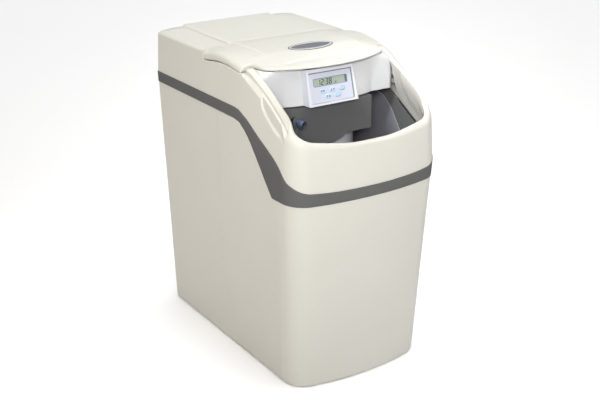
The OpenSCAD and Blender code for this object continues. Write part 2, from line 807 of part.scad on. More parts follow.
module panel_cavity() {
  on_panel()
    translate([ctrl_in - ctrl_w / 2, ctrl_in + ctrl_lift, -3 * ctrl_out])
      cube([ctrl_w - 2 * ctrl_in, ctrl_h - 2 * ctrl_in - ctrl_lift, 3 * ctrl_out + past]);
}
fascia_edge = 2;
module fascia() {
  wide = wall_half(fascia_y, rib_z) - wall - fascia_gap;
  rail = cover_half(seat_z) - rail_w - fascia_gap - fascia_edge;
  ear = rib_z + rib_h + fascia_edge;
  top = body_h - nose_drop - lid_t - fascia_t;
  right = [[wide, fascia_z], [rib_x - past, ear], [rail, ear], [rail, top]];
  color(shell_white)
  difference() {
    translate([0, fascia_y + fascia_t, 0])
      rotate([90, 0, 0])
        linear_extrude(fascia_t)
          polygon(concat(right, [for (k = [3:-1:0]) [-right[k][0], right[k][1]]]));
    panel_cavity();
    screw_spots()
      cylinder(h = 3 * fascia_t, r = screw_r + fit, center = true);
  }
}

module fascia_screws() {
  color(pipe_grey)
  screw_spots() {
    cylinder(h = head_h, r = head_r);
    translate([0, 0, -screw_l])
      cylinder(h = screw_l + eps, r = screw_r);
  }
}

root_add = 0.5;
skin_t = 1;
module control_housing() {
  root = ctrl_w + 2 * ctrl_flare;
  root_h = ctrl_h * cos(ctrl_tilt) + root_add;
  color(shell_white)
  difference() {
    hull() {
      on_panel()
        translate([-ctrl_w / 2, 0, -skin_t])
          cube([ctrl_w, ctrl_h, skin_t]);
      translate([ctrl_x - root / 2, fascia_y - skin_t, fascia_z])
        cube([root, skin_t, root_h]);
    }
    on_panel()
      translate([ctrl_rim - ctrl_w / 2, ctrl_rim, -ctrl_sink - overlay_t])
        cube([ctrl_w - 2 * ctrl_rim, ctrl_h - 2 * ctrl_rim, 4 * ctrl_sink]);
    panel_cavity();
  }
}

// places of the five buttons on the control face
btn_at = [[-btn_pitch, btn_up], [0, btn_up], [btn_pitch, btn_up], [-btn_pitch / 2, btn_up - btn_rows],
  [btn_pitch / 2, btn_up - btn_rows]];
module stadium(l, w) {
  square([l - w, w], center = true);
  for (s = [-1, 1])
    translate([s * (l - w) / 2, 0])
      circle(w / 2);
}

film_gap = 0.2;
module control_overlay() {
  edge = ctrl_rim + film_gap;
  color([0.89, 0.9, 0.94])
  on_panel()
    translate([0, 0, -ctrl_sink - overlay_t])
      linear_extrude(overlay_t)
        difference() {
          translate([edge - ctrl_w / 2, edge])
            square([ctrl_w - 2 * edge, ctrl_h - 2 * edge]);
          translate([-lcd_w / 2, lcd_up - lcd_h / 2])
            square([lcd_w, lcd_h]);
          for (p = btn_at)
            translate(p)
              stadium(btn_l + 2 * btn_gap, btn_w + 2 * btn_gap);
        }
}
back_z = -ctrl_sink - overlay_t;
module lcd_block(w, h, t, z) {
  on_panel()
    translate([-w / 2, lcd_up - h / 2, z])
      cube([w, h, t]);
}

module lcd_window() {
  color([0.71, 0.75, 0.63])
  lcd_block(lcd_w - fit, lcd_h - fit, overlay_t - film_gap, back_z);
}

lcd_side = 4;
lcd_edge = 1.5;
module lcd_module() {
  color([0.25, 0.3, 0.25])
  lcd_block(lcd_w + lcd_side, lcd_h + lcd_edge, lcd_t, back_z - lcd_t);
}
board_z = back_z - lcd_t - board_t;
board_gap = 1;

module control_board() {
  inner = ctrl_in + board_gap;
  color([0.1, 0.35, 0.2])
  on_panel()
    translate([inner - ctrl_w / 2, inner + ctrl_lift, board_z])
      cube([ctrl_w - 2 * inner, ctrl_h - 2 * inner - ctrl_lift, board_t]);
}
switch_h = 1;
switch_w = 4;

module button_switches() {
  color(dark_grey)
  on_panel()
    for (p = btn_at)
      translate([p[0] - switch_w / 2, p[1] - switch_w / 2, board_z + board_t])
        cube([switch_w, switch_w, switch_h]);
}

// a key has a flange under the overlay and a stem above its switch
key_flange = 0.8;
key_rim = 0.7;
key_out = 1;
stem_gap = 0.15;
stem_w = 1.2;
module button(k) {
  color(button_blue)
  on_panel()
    translate(btn_at[k]) {
      translate([0, 0, back_z - key_flange])
        linear_extrude(overlay_t + key_flange + key_out)
          stadium(btn_l, btn_w);
      translate([0, 0, back_z - key_flange])
        linear_extrude(key_flange)
          stadium(btn_l + 2 * btn_gap + key_rim, btn_w + 2 * btn_gap + key_rim);
      translate([0, 0, back_z - lcd_t + switch_h + btn_travel + stem_gap])
        cylinder(h = lcd_t - switch_h - btn_travel - stem_gap - key_flange / 2, r = stem_w);
    }
}
module button_1() button(0);
module button_2() button(1);
module button_3() button(2);
module button_4() button(3);
module button_5() button(4);

// front outline of the valve cover with its hanging lobe
shroud_top = fascia_z - shroud_gap;
lobe_x = -8;
module shroud_face(t) {
  low = shroud_top - shroud_h;
  left = -shroud_l - 2 * shroud_d;
  difference() {
    union() {
      translate([left, low + t])
        square([shroud_w - left - t, shroud_h]);
      translate([lobe_x, low - lobe_drop + lobe_r])
        circle(lobe_r - t);
    }
    translate([left, shroud_top - t])
      square([shroud_w - left, lobe_r * 2]);
  }
}
module shroud_plan(t) {
  polygon([[-shroud_l - shroud_d, shroud_y + shroud_d + t], [-shroud_l + t * 0.4, shroud_y + t],
    [shroud_w, shroud_y + t], [shroud_w, shroud_y + shroud_d + t]]);
}
module shroud_solid(t) {
  intersection() {
    translate([0, shroud_y + 2 * shroud_d, 0])
      rotate([90, 0, 0])
        linear_extrude(3 * shroud_d)
          shroud_face(t);
    linear_extrude(body_h)
      shroud_plan(t);
  }
}

ves_gap = 2;
foot_w = 8;
mani_right = 40;
module valve_cover() {
  color(dark_grey)
  difference() {
    shroud_solid(0);
    shroud_solid(shroud_t);
    translate([0, ves_y, 0])
      cylinder(h = ves_sh + 0.75 * ves_dome, r = ves_r + ves_gap);
    tube_y(drain_x, drain_z, shroud_y - past, mani_y, drain_r + 2 * fit);
  }
  // feet that stand on the manifold front
  color(dark_grey)
  for (x = [-mani_x / 2, mani_right / 2])
    translate([x, shroud_y + shroud_t - eps, mani_z + foot_w / 2])
      cube([foot_w, mani_y - shroud_y - shroud_t + eps, mani_h - foot_w]);
}

module tube_y(x, z, y0, y1, r) {
  translate([x, y1, z])
    rotate([90, 0, 0])
      cylinder(h = y1 - y0, r = r);
}

strainer_t = 2;
module valve_body() {
  color(dark_grey)
  difference() {
    union() {
      translate([0, ves_y, valve_z])
        cylinder(h = valve_h, r = valve_r);
      translate([0, ves_y, port_z])
        along_x(2 * port_x, port_r);
      translate([-mani_x, mani_y, mani_z])
        cube([mani_x + mani_right, ves_y - mani_y, mani_h]);
    }
    translate([0, ves_y, valve_z - past])
      cylinder(h = neck_z - valve_z + past + strainer_t, r = neck_r + fit);
    translate([0, ves_y, valve_z])
      cylinder(h = valve_h, r = riser_r + fit);
    translate([0, ves_y, chamber_z])
      cylinder(h = valve_h, r = rotor_r);
    translate([0, ves_y, port_z])
      along_x(2 * (port_x + past), port_bore);
    tube_y(drain_x, drain_z, mani_y - past, mani_y + drain_l, drain_bore);
  }
}

motor_shaft = 2.5;
shaft_gap = 1.5;
module valve_head() {
  color(pipe_grey)
  difference() {
    translate([0, 0, head_z])
      linear_extrude(head_t)
        union() {
          translate([0, ves_y])
            circle(valve_r);
          translate([0, motor_y])
            circle(motor_r);
          translate([-motor_r, ves_y])
            square([2 * motor_r, gear_dist]);
        }
    translate([0, ves_y, head_z - past])
      cylinder(h = head_t + 2 * past, r = shaft_r + run_gap);
    translate([0, motor_y, head_z - past])
      cylinder(h = head_t + 2 * past, r = motor_shaft + shaft_gap);
  }
}

rotor_lift = 0.2;
rotor_port = 5;
module rotor_disc() {
  color([0.8, 0.8, 0.82])
  translate([0, ves_y, 0])
    difference() {
      union() {
        translate([0, 0, chamber_z + rotor_lift])
          cylinder(h = rotor_t, r = rotor_r - run_gap);
        translate([0, 0, chamber_z + past])
          cylinder(h = gear_z + gear_t + gear_lift - chamber_z - past, r = shaft_r);
      }
      for (a = [0, 120, 240])
        rotate([0, 0, a])
          translate([rotor_r * 0.62, 0, chamber_z - past])
            cylinder(h = rotor_t + 3 * past, r = rotor_port);
    }
}

// spur gear outline with involute flanks
function inv_pt(rb, t) = [rb * (cos(t) + t * PI / 180 * sin(t)), rb * (sin(t) - t * PI / 180 * cos(t))];
function turn(p, a) = [p[0] * cos(a) - p[1] * sin(a), p[0] * sin(a) + p[1] * cos(a)];
function flank(teeth) =
  let (rp = gear_m * teeth / 2, rb = rp * cos(20), ra = rp + gear_m, rf = rp - 1.25 * gear_m,
    lo = rf > rb ? acos(rb / rf) : 0, t0 = tan(lo) * 180 / PI, t1 = sqrt(pow(ra / rb, 2) - 1) * 180 / PI,
    tp = sqrt(pow(rp / rb, 2) - 1) * 180 / PI, ap = atan2(inv_pt(rb, tp)[1], inv_pt(rb, tp)[0]),
    half = 90 / teeth - 3.5 / rp)
  concat(rf < rb ? [turn([rf, 0], -ap - half)] : [],
    [for (k = [0:3]) turn(inv_pt(rb, t0 + (t1 - t0) * k / 3), -ap - half)]);
module spur(teeth, h) {
  f = flank(teeth);
  n = len(f);
  tooth = concat(f, [for (k = [n - 1:-1:0]) [f[k][0], -f[k][1]]]);
  linear_extrude(h)
    polygon([for (k = [0:teeth - 1]) each [for (p = tooth) turn(p, 360 * k / teeth)]]);
}

module drive_gear() {
  color([0.85, 0.85, 0.8])
  translate([0, ves_y, gear_z])
    difference() {
      spur(gear_teeth, gear_t);
      translate([0, 0, -past])
        cylinder(h = gear_t + 2 * past, r = shaft_r);
    }
}

module drive_motor() {
  color(pipe_grey)
  translate([0, motor_y, head_z - motor_h])
    cylinder(h = motor_h, r = motor_r);
}

module motor_pinion() {
  // the tooth that faces the gear is turned to meet a gap
  gap_a = 270 + 180 / pinion_teeth;
  lead = gear_teeth % 4 == 0 ? 0 : 90 - floor(gear_teeth / 4) * 360 / gear_teeth;
  color([0.9, 0.88, 0.8])
  translate([0, motor_y, 0])
    rotate([0, 0, gap_a + lead * gear_teeth / pinion_teeth])
      union() {
        translate([0, 0, gear_z])
          spur(pinion_teeth, gear_t);
        translate([0, 0, head_z + eps])
          cylinder(h = gear_z - head_z, r = motor_shaft);
      }
}

module inlet_strainer() {
  color(blue_grey)
  translate([-port_x - meter_l / 2, ves_y, port_z])
    difference() {
      along_x(meter_l, port_r);
      along_x(meter_l + 2 * past, port_bore);
    }
}

module meter_body() {
  color(blue_grey)
  translate([port_x + meter_l / 2, ves_y, port_z])
    difference() {
      along_x(meter_l, port_r);
      along_x(meter_l + 2 * past, port_bore);
    }
}
axle_r = 1.5;
hub_r = 4;
hub_l = 12;
blade_l = 9;
blade_t = 1.2;
blade_a = 20;
blade_gap = 0.5;
bar_t = 1.5;
bar_w = 2;
bar_in = 0.5;
bar_gap = 0.05;
module meter_axle() {
  color(pipe_grey)
  translate([port_x + meter_l / 2, ves_y, port_z]) {
    along_x(meter_l - 2 * bar_in, axle_r);
    for (a = [0, 90])
      rotate([a, 0, 0])
        translate([bar_in - meter_l / 2, bar_gap - port_bore, -bar_t / 2])
          cube([bar_w, 2 * (port_bore - bar_gap), bar_t]);
  }
}

module meter_turbine() {
  color([0.9, 0.4, 0.3])
  translate([port_x + meter_l / 2, ves_y, port_z])
    difference() {
      union() {
        along_x(hub_l, hub_r);
        for (a = [0:60:300])
          rotate([a, 0, 0])
            rotate([0, 0, blade_a])
              translate([-blade_l / 2, -blade_t / 2, hub_r - past])
                cube([blade_l, blade_t, port_bore - hub_r - blade_gap]);
      }
      along_x(2 * hub_l, axle_r + run_gap);
    }
}

collar = 1.2;
module drain_fitting() {
  color(blue_grey)
  difference() {
    union() {
      tube_y(drain_x, drain_z, mani_y - drain_l, mani_y, drain_r - collar);
      tube_y(drain_x, drain_z, mani_y - drain_l, mani_y - drain_l * 0.6, drain_r);
    }
    tube_y(drain_x, drain_z, mani_y - drain_l - past, mani_y + past, drain_bore);
  }
}

// half section of the vessel, outside and inside
shoe_in = ves_r - 14;
shoe_t = 8;
shoe_ring = 12;
shoe_wall = 3;
shoe_flat = 4;
shoe_gap = 2;
bowl_z = floor_t + 26;
bed_gap = 4;
dome_n = 6;
function dome(r, h, z) =
  [for (k = [0:dome_n]) let (a = 90 * k / dome_n) [neck_r + (r - neck_r) * cos(a), z + h * sin(a)]];
module vessel_out() {
  polygon(concat([[0, floor_t + shoe_t], [shoe_in, floor_t + shoe_t], [ves_r, bowl_z]],
    dome(ves_r, ves_dome, ves_sh), [[neck_r, neck_z], [0, neck_z]]));
}
bed_low = floor_t + shoe_t + ves_wall;
neck_t = 4;
module vessel_in() {
  polygon(concat([[0, bed_low], [shoe_in - ves_wall, bed_low], [ves_r - ves_wall, bowl_z + ves_wall]],
    [for (p = dome(ves_r - ves_wall, ves_dome - ves_wall, ves_sh)) [p[0] - neck_t, p[1]]],
    [[neck_r - neck_t, neck_z + past], [0, neck_z + past]]));
}

module resin_vessel() {
  color([0.9, 0.9, 0.88])
  translate([0, ves_y, 0])
    rotate_extrude()
      difference() {
        vessel_out();
        vessel_in();
      }
}

module vessel_foot() {
  color(dark_grey)
  translate([0, ves_y, 0])
    rotate_extrude()
      polygon([[shoe_in - shoe_ring, floor_t], [ves_r + shoe_wall, floor_t],
        [ves_r + shoe_wall, floor_t + shoe_h], [ves_r + fit, floor_t + shoe_h],
        [ves_r + fit, bowl_z - shoe_gap], [shoe_in + shoe_flat, floor_t + shoe_t],
        [shoe_in - shoe_ring, floor_t + shoe_t]]);
}
basket_h = 14;
basket_t = 3;
slot_w = 1;
slot_up = 2;
module lower_basket() {
  color(pipe_grey)
  translate([0, ves_y, bed_low])
    difference() {
      cylinder(h = basket_h, r = 2 * riser_r);
      translate([0, 0, basket_t])
        cylinder(h = basket_h, r = riser_r + fit);
      for (a = [0:30:150])
        rotate([0, 0, a])
          translate([-3 * riser_r, -slot_w / 2, basket_t + slot_up])
            cube([6 * riser_r, slot_w, basket_h - 2 * basket_t - 2]);
    }
}

riser_t = 2;
module riser_tube() {
  color([0.85, 0.85, 0.85])
  translate([0, ves_y, bed_low + basket_t])
    difference() {
      cylinder(h = chamber_z - bed_low - basket_t - past, r = riser_r);
      translate([0, 0, -past])
        cylinder(h = chamber_z, r = riser_r - riser_t);
    }
}

strainer_h = 16;
riser_gap = 0.4;
module upper_basket() {
  color(pipe_grey)
  translate([0, ves_y, neck_z])
    difference() {
      union() {
        cylinder(h = strainer_t, r = neck_r - riser_gap);
        translate([0, 0, -strainer_h])
          cylinder(h = strainer_h + past, r = neck_r - neck_t - riser_gap);
      }
      translate([0, 0, -2 * strainer_h])
        cylinder(h = 3 * strainer_h, r = riser_r + riser_gap);
      for (a = [0:30:150])
        rotate([0, 0, a])
          translate([-2 * neck_r, -slot_w / 2, basket_t - strainer_h])
            cube([4 * neck_r, slot_w, strainer_h - 2 * basket_t]);
    }
}

module resin_bed() {
  color([0.75, 0.5, 0.25])
  translate([0, ves_y, bowl_z + ves_wall])
    difference() {
      cylinder(h = bed_h, r = ves_r - ves_wall - bed_gap);
      translate([0, 0, -past])
        cylinder(h = bed_h + 2 * past, r = riser_r + riser_gap);
    }
}

// quarter of a round ring between the X and Y directions
module quarter_bend(bend, r) {
  intersection() {
    rotate_extrude()
      translate([bend, 0])
        circle(r);
    translate([0, 0, -2 * r])
      cube([bend + 2 * r, bend + 2 * r, 4 * r]);
  }
}

// elbow on a side housing and the water pipe from it to the rear wall
pipe_end = rear_y - wall - nut_t - port_tail;
module water_elbow() {
  translate([pipe_x - pipe_bend, ves_y + pipe_bend, port_z])
    rotate([0, 0, -90])
      difference() {
        quarter_bend(pipe_bend, pipe_r);
        quarter_bend(pipe_bend, pipe_bore);
      }
}
module water_pipe() {
  difference() {
    tube_y(pipe_x, port_z, ves_y + pipe_bend, pipe_end, pipe_r);
    tube_y(pipe_x, port_z, ves_y + pipe_bend - past, pipe_end + past, pipe_bore);
  }
}

module outlet_elbow() {
  color(blue_grey)
  water_elbow();
}

module inlet_elbow() {
  color(blue_grey)
  mirror([1, 0, 0])
    water_elbow();
}

module outlet_pipe() {
  color(pipe_grey)
  water_pipe();
}

module inlet_pipe() {
  color(pipe_grey)
  mirror([1, 0, 0])
    water_pipe();
}

// bulkhead fitting through a rear wall with a thicker thread under its nut
module bulkhead(x, z, r, long, flange, tail, bore) {
  inner = rear_y - wall;
  difference() {
    union() {
      tube_y(x, z, inner - nut_t, inner, flange);
      tube_y(x, z, inner - eps, rear_y + nut_t, r + thread_step);
      tube_y(x, z, rear_y + nut_t - eps, rear_y + long, r);
      tube_y(x, z, inner - nut_t - tail, inner - nut_t + eps, r);
    }
    tube_y(x, z, inner - nut_t - tail - past, rear_y + long + past, bore);
  }
}

module outlet_port() {
  color(blue_grey)
  bulkhead(pipe_x, port_z, spigot_r, spigot_l, flange_r, port_tail, pipe_bore);
}

module inlet_port() {
  color(blue_grey)
  bulkhead(-pipe_x, port_z, spigot_r, spigot_l, flange_r, port_tail, pipe_bore);
}

module nut(x, z, r) {
  difference() {
    translate([x, rear_y + nut_t, z])
      rotate([90, 0, 0])
        cylinder(h = nut_t, r = r + nut_add, $fn = 6);
    tube_y(x, z, rear_y - past, rear_y + nut_t + past, r);
  }
}

module port_nuts() {
  color(pipe_grey)
  for (s = [-1, 1])
    nut(s * pipe_x, port_z, spigot_r + thread_step);
}

// socket for the plug of a power supply
module power_inlet() {
  inner = rear_y - wall;
  color(dark_grey)
  difference() {
    union() {
      tube_y(jack_x, port_z, inner - nut_t, inner, jack_r + jack_rim);
      tube_y(jack_x, port_z, inner - eps, rear_y + jack_out, jack_r);
    }
    tube_y(jack_x, port_z, rear_y + jack_out - jack_deep, rear_y + jack_out + past, jack_bore);
  }
}

module overflow_port() {
  color(blue_grey)
  bulkhead(over_x, over_z, over_r, over_l, over_r + over_flange, over_tail, over_bore);
}

module overflow_nut() {
  color(pipe_grey)
  nut(over_x, over_z, over_r + thread_step);
}

module at_well() {
  translate([well_x, well_y, 0])
    children();
}
tube_z = mani_z + mani_h / 2;

well_slot = 6;
slot_h = 20;
module brine_well() {
  color(shell_white)
  at_well()
    difference() {
      translate([0, 0, floor_t])
        cylinder(h = well_h - floor_t, r = well_r);
      translate([0, 0, floor_t - past])
        cylinder(h = well_h, r = well_r - well_t);
      for (a = [0, 60, 120])
        rotate([0, 0, a])
          translate([-2 * well_r, -well_slot / 2, floor_t + well_slot])
            cube([4 * well_r, well_slot, slot_h]);
      translate([tube_x - well_x, 0, tube_z])
        rotate([90, 0, 0])
          cylinder(h = 2 * well_r, r = tube_r + 2 * fit);
    }
}

cap_plug = 3;
cap_t = 3;
cap_rim = 2;
module well_cap() {
  color(shell_white)
  at_well() {
    translate([0, 0, well_h])
      cylinder(h = cap_t, r = well_r + cap_rim);
    translate([0, 0, well_h - cap_plug])
      cylinder(h = cap_plug + eps, r = well_r - well_t - fit);
  }
}

stop_h = 6;
stop_rim = 4;
stem_bore = 3;
tube_wall = 2;
module brine_pickup() {
  color(blue_grey)
  at_well()
    difference() {
      union() {
        translate([0, 0, floor_t])
          cylinder(h = pick_foot, r = pick_r);
        translate([0, 0, floor_t])
          cylinder(h = tube_z - floor_t, r = stem_r);
        translate([0, 0, stop_z - stop_h])
          cylinder(h = stop_h, r = stem_r + stop_rim);
        translate([-pick_w / 2, -pick_w / 2, tube_z - pick_h / 2])
          cube([pick_w, pick_w, pick_h]);
      }
      translate([0, 0, floor_t + pick_h])
        cylinder(h = tube_z - floor_t - pick_h, r = stem_bore);
      translate([tube_x - well_x, past, tube_z])
        rotate([90, 0, 0])
          cylinder(h = pick_w, r = tube_r - tube_wall);
    }
}

module brine_float() {
  color([0.95, 0.75, 0.3])
  at_well()
    translate([0, 0, stop_z])
      difference() {
        cylinder(h = float_h, r = float_r);
        translate([0, 0, -past])
          cylinder(h = float_h + 2 * past, r = stem_r + run_gap);
      }
}

// brine tube from the pickup forward and its elbow into the left end of the manifold
tube_in = 14;
tube_end = mani_y + tube_in;
module brine_tube() {
  y0 = tube_end + tube_bend;
  color([0.2, 0.2, 0.22])
  difference() {
    tube_y(tube_x, tube_z, y0, well_y - pick_w / 2, tube_r);
    tube_y(tube_x, tube_z, y0 - past, well_y, tube_r - tube_wall);
  }
}

module brine_elbow() {
  color(blue_grey)
  translate([tube_x + tube_bend, tube_end + tube_bend, tube_z])
    rotate([0, 0, 180])
      difference() {
        quarter_bend(tube_bend, tube_r);
        quarter_bend(tube_bend, tube_r - tube_wall);
      }
}

leg_in = 12;
plat_edge = 2;
well_gap = 2;
hole_x = -10;
hole_in = 26;
module salt_platform() {
  x1 = half_w(plat_z) - wall - plat_gap;
  y0 = ves_y + ves_r + plat_gap + plat_edge;
  y1 = rear_y - wall - plat_gap + plat_edge;
  legs = [[leg_in - x1, y0 + leg_in], [x1 - leg_in, y0 + leg_in], [x1 - leg_in, y1 - leg_in],
    [0, y1 - leg_in]];
  color([0.7, 0.72, 0.74])
  difference() {
    union() {
      translate([-x1, y0, plat_z])
        cube([2 * x1, y1 - y0, plat_t]);
      for (p = legs)
        translate([p[0], p[1], floor_t])
          cylinder(h = plat_z - floor_t + eps, r = leg_r);
    }
    at_well()
      cylinder(h = 2 * (plat_z + plat_t), r = well_r + well_gap);
    for (i = [0:6], j = [0:4])
      translate([hole_x + hole_step * i, y0 + hole_in + hole_rows * j, plat_z - past])
        cylinder(h = plat_t + 2 * past, r = plat_hole);
  }
}

cabinet_shell();
trim_band();
top_cover();
lid();
lid_badge();
lid_knuckles();
hinge_brackets();
hinge_pins();
fascia();
fascia_screws();
control_housing();
control_overlay();
lcd_window();
lcd_module();
control_board();
button_switches();
button_1();
button_2();
button_3();
button_4();
button_5();
valve_cover();
valve_body();
valve_head();
rotor_disc();
drive_gear();
drive_motor();
motor_pinion();
inlet_strainer();
meter_body();
meter_axle();
meter_turbine();
drain_fitting();
resin_vessel();
vessel_foot();
riser_tube();
lower_basket();
upper_basket();
resin_bed();
inlet_elbow();
outlet_elbow();
inlet_pipe();
outlet_pipe();
inlet_port();
outlet_port();
port_nuts();
power_inlet();
overflow_port();
overflow_nut();
brine_well();
well_cap();
brine_pickup();
brine_float();
brine_tube();
brine_elbow();
salt_platform();
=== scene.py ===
import json
import math

import bmesh
import bpy
import numpy as np
from mathutils import Matrix, Vector


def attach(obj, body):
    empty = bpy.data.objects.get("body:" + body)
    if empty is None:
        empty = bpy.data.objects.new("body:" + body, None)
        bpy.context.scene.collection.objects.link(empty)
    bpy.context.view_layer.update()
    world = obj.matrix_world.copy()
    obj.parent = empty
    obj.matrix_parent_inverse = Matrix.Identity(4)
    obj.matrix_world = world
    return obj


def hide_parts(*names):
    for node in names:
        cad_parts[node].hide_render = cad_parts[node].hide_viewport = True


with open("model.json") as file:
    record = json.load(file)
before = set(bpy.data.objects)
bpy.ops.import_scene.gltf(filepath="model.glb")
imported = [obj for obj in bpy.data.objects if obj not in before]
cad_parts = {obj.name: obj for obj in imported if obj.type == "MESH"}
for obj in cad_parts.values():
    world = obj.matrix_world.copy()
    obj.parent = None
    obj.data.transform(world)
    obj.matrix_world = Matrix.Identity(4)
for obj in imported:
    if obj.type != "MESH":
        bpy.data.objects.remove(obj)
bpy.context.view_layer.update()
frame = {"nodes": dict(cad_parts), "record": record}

MM = 0.001

# Sizes in millimetres, the same as in the solid model
BASE_W = 248.0
BASE_D = 422.0
SIDE_LEAN = math.tan(math.radians(2.06))
FRONT_LEAN = math.tan(math.radians(3.46))
COVER_LEAN = math.tan(math.radians(3.0))
FRONT_BOW = 19.0
CORNER_R = 37.0
REAR_R = 8.0
WALL = 3.6
FLOOR_T = 6.0
FOOT_R = 6.0
BAND_FRONT = 316.0
BAND_REAR = 416.0
BAND_H = 18.0
LIP_Z = 403.0
SEAT_Z = 489.0
REAR_Z = 488.0
CREASE_Y = 58.0
FASCIA_Z = 435.0
REAR_Y = (BASE_D + BAND_FRONT * FRONT_LEAN) / 2
FRONT_TOP = BAND_FRONT + BAND_H
BAND_TOP = BAND_REAR + BAND_H
# Height of the outer edge of the side strips
STRIP_Z = 501.0


def smooth_curve(points):
    """Monotone cubic through points of rising place, held flat beyond both ends."""
    px, py = np.array(points, float).T
    step = np.diff(px)
    slope = np.diff(py) / step
    tangent = np.zeros_like(px)
    tangent[0] = slope[0]
    tangent[-1] = slope[-1]
    for k in range(1, len(px) - 1):
        if slope[k - 1] * slope[k] > 0:
            w1 = 2 * step[k] + step[k - 1]
            w2 = step[k] + 2 * step[k - 1]
            tangent[k] = (w1 + w2) / (w1 / slope[k - 1] + w2 / slope[k])

    def value(x):
        x = np.clip(x, px[0], px[-1])
        k = np.clip(np.searchsorted(px, x) - 1, 0, len(px) - 2)
        h = step[k]
        s = (x - px[k]) / h
        start = py[k] * (1 + 2 * s) * (1 - s) ** 2 + tangent[k] * h * s * (1 - s) ** 2
        end = py[k + 1] * s ** 2 * (3 - 2 * s) - tangent[k + 1] * h * s ** 2 * (1 - s)
        return start + end

    return value


def ease(s):
    """Soft step from 0 to 1."""
    s = np.clip(s, 0, 1)
    return s * s * (3 - 2 * s)


def arc_fall(d, r):
    """Drop of a rounded edge of radius r at a distance d from its side."""
    d = np.clip(d, 0, r)
    return r - np.sqrt(np.maximum(r * r - (r - d) ** 2, 0))


def quarter(n):
    """Angles of a quarter turn at n places."""
    return np.radians(np.linspace(0, 90, n))


def full_turn(n):
    """Angles of a full turn at n places."""
    return np.linspace(0, 2 * np.pi, n, endpoint=False)


# Outline of the drafted cabinet at a height
def half_w(z):
    """Half of the width."""
    return BASE_W / 2 + z * SIDE_LEAN


def front_y(z):
    """Depth of the front middle."""
    return REAR_Y - BASE_D - z * FRONT_LEAN


def bow_r(z):
    """Radius of the bowed front."""
    return (half_w(z) ** 2 + FRONT_BOW ** 2) / (2 * FRONT_BOW)


def bow_y(z):
    """Depth of the bow's centre."""
    return front_y(z) + bow_r(z)


def corner_x(z):
    """Place of a front corner's centre."""
    return half_w(z) - CORNER_R


def corner_y(z):
    """Depth of a front corner's centre."""
    return bow_y(z) - np.sqrt((bow_r(z) - CORNER_R) ** 2 - corner_x(z) ** 2)


def bow_a(z):
    """Half of the angle that the bow takes."""
    return np.arctan2(corner_x(z), bow_y(z) - corner_y(z))


# Stations along the left half of the outline, from the rear middle to the front middle
CREST_HALF = half_w(BAND_TOP) - (STRIP_Z - BAND_TOP) * COVER_LEAN
STRIP_IN = 88.2
STRIP_XS = np.concatenate([np.linspace(CREST_HALF - REAR_R, 90, 11), STRIP_IN + np.array([1, 0.4, 0.1, 0])])
REAR_XS = np.concatenate([np.linspace(0, 87.0, 8), STRIP_XS[:0:-1]])
END_Y = CREASE_Y + 0.6
WING_END = -61.0
BAY_Y = -97.0
FILLET_R = 2.4
FILLET_YS = END_Y - FILLET_R + FILLET_R * np.sin(quarter(7)[::-1])
SIDE_YS = np.concatenate([
    np.linspace(205, 70, 14), [64, 60, END_Y + 0.3], FILLET_YS, np.linspace(54, -30, 54),
    np.linspace(-32, -59, 9), [WING_END + 0.4, WING_END - 0.6], np.linspace(-63, -94, 13),
    [BAY_Y + 0.5, BAY_Y - 0.5], np.linspace(-99, -110, 5), np.linspace(-111, -118, 9),
    np.linspace(-120, -166, 24)])
N_ARC = 9
N_CORNER = 26
N_BOW = 20

REAR_SHARE = REAR_XS / (CREST_HALF - REAR_R)
ARC_A = np.radians(np.linspace(90, 180, N_ARC))
SIDE_0 = REAR_Y - REAR_R
SIDE_SHARE = (SIDE_0 - SIDE_YS) / (SIDE_0 - corner_y(FRONT_TOP))
CORNER_SHARE = np.linspace(0, 1, N_CORNER)
BOW_SHARE = np.linspace(0, 1, N_BOW + 1)[1:]
I_ARC = len(REAR_SHARE)
I_SIDE = I_ARC + N_ARC
I_CORNER = I_SIDE + len(SIDE_SHARE)
I_BOW = I_CORNER + N_CORNER
N_HALF = I_BOW + N_BOW


def outline(z):
    """Points and outward directions of the left half, with a height for each station."""
    z = np.broadcast_to(np.asarray(z, float), (N_HALF,))
    x = np.zeros(N_HALF)
    y = np.zeros(N_HALF)
    nx = np.zeros(N_HALF)
    ny = np.zeros(N_HALF)
    k = slice(0, I_ARC)
    x[k] = -REAR_SHARE * (half_w(z[k]) - REAR_R)
    y[k] = REAR_Y
    ny[k] = 1
    k = slice(I_ARC, I_SIDE)
    nx[k] = np.cos(ARC_A)
    ny[k] = np.sin(ARC_A)
    x[k] = REAR_R - half_w(z[k]) + REAR_R * nx[k]
    y[k] = REAR_Y - REAR_R + REAR_R * ny[k]
    k = slice(I_SIDE, I_CORNER)
    x[k] = -half_w(z[k])
    y[k] = SIDE_0 + (corner_y(z[k]) - SIDE_0) * SIDE_SHARE
    nx[k] = -1
    k = slice(I_CORNER, I_BOW)
    a = np.pi + (np.pi / 2 - bow_a(z[k])) * CORNER_SHARE
    nx[k] = np.cos(a)
    ny[k] = np.sin(a)
    x[k] = CORNER_R * nx[k] - corner_x(z[k])
    y[k] = corner_y(z[k]) + CORNER_R * ny[k]
    k = slice(I_BOW, N_HALF)
    a = 1.5 * np.pi - bow_a(z[k]) * (1 - BOW_SHARE)
    nx[k] = np.cos(a)
    ny[k] = np.sin(a)
    x[k] = bow_r(z[k]) * nx[k]
    y[k] = bow_y(z[k]) + bow_r(z[k]) * ny[k]
    x[-1] = 0
    return x, y, nx, ny


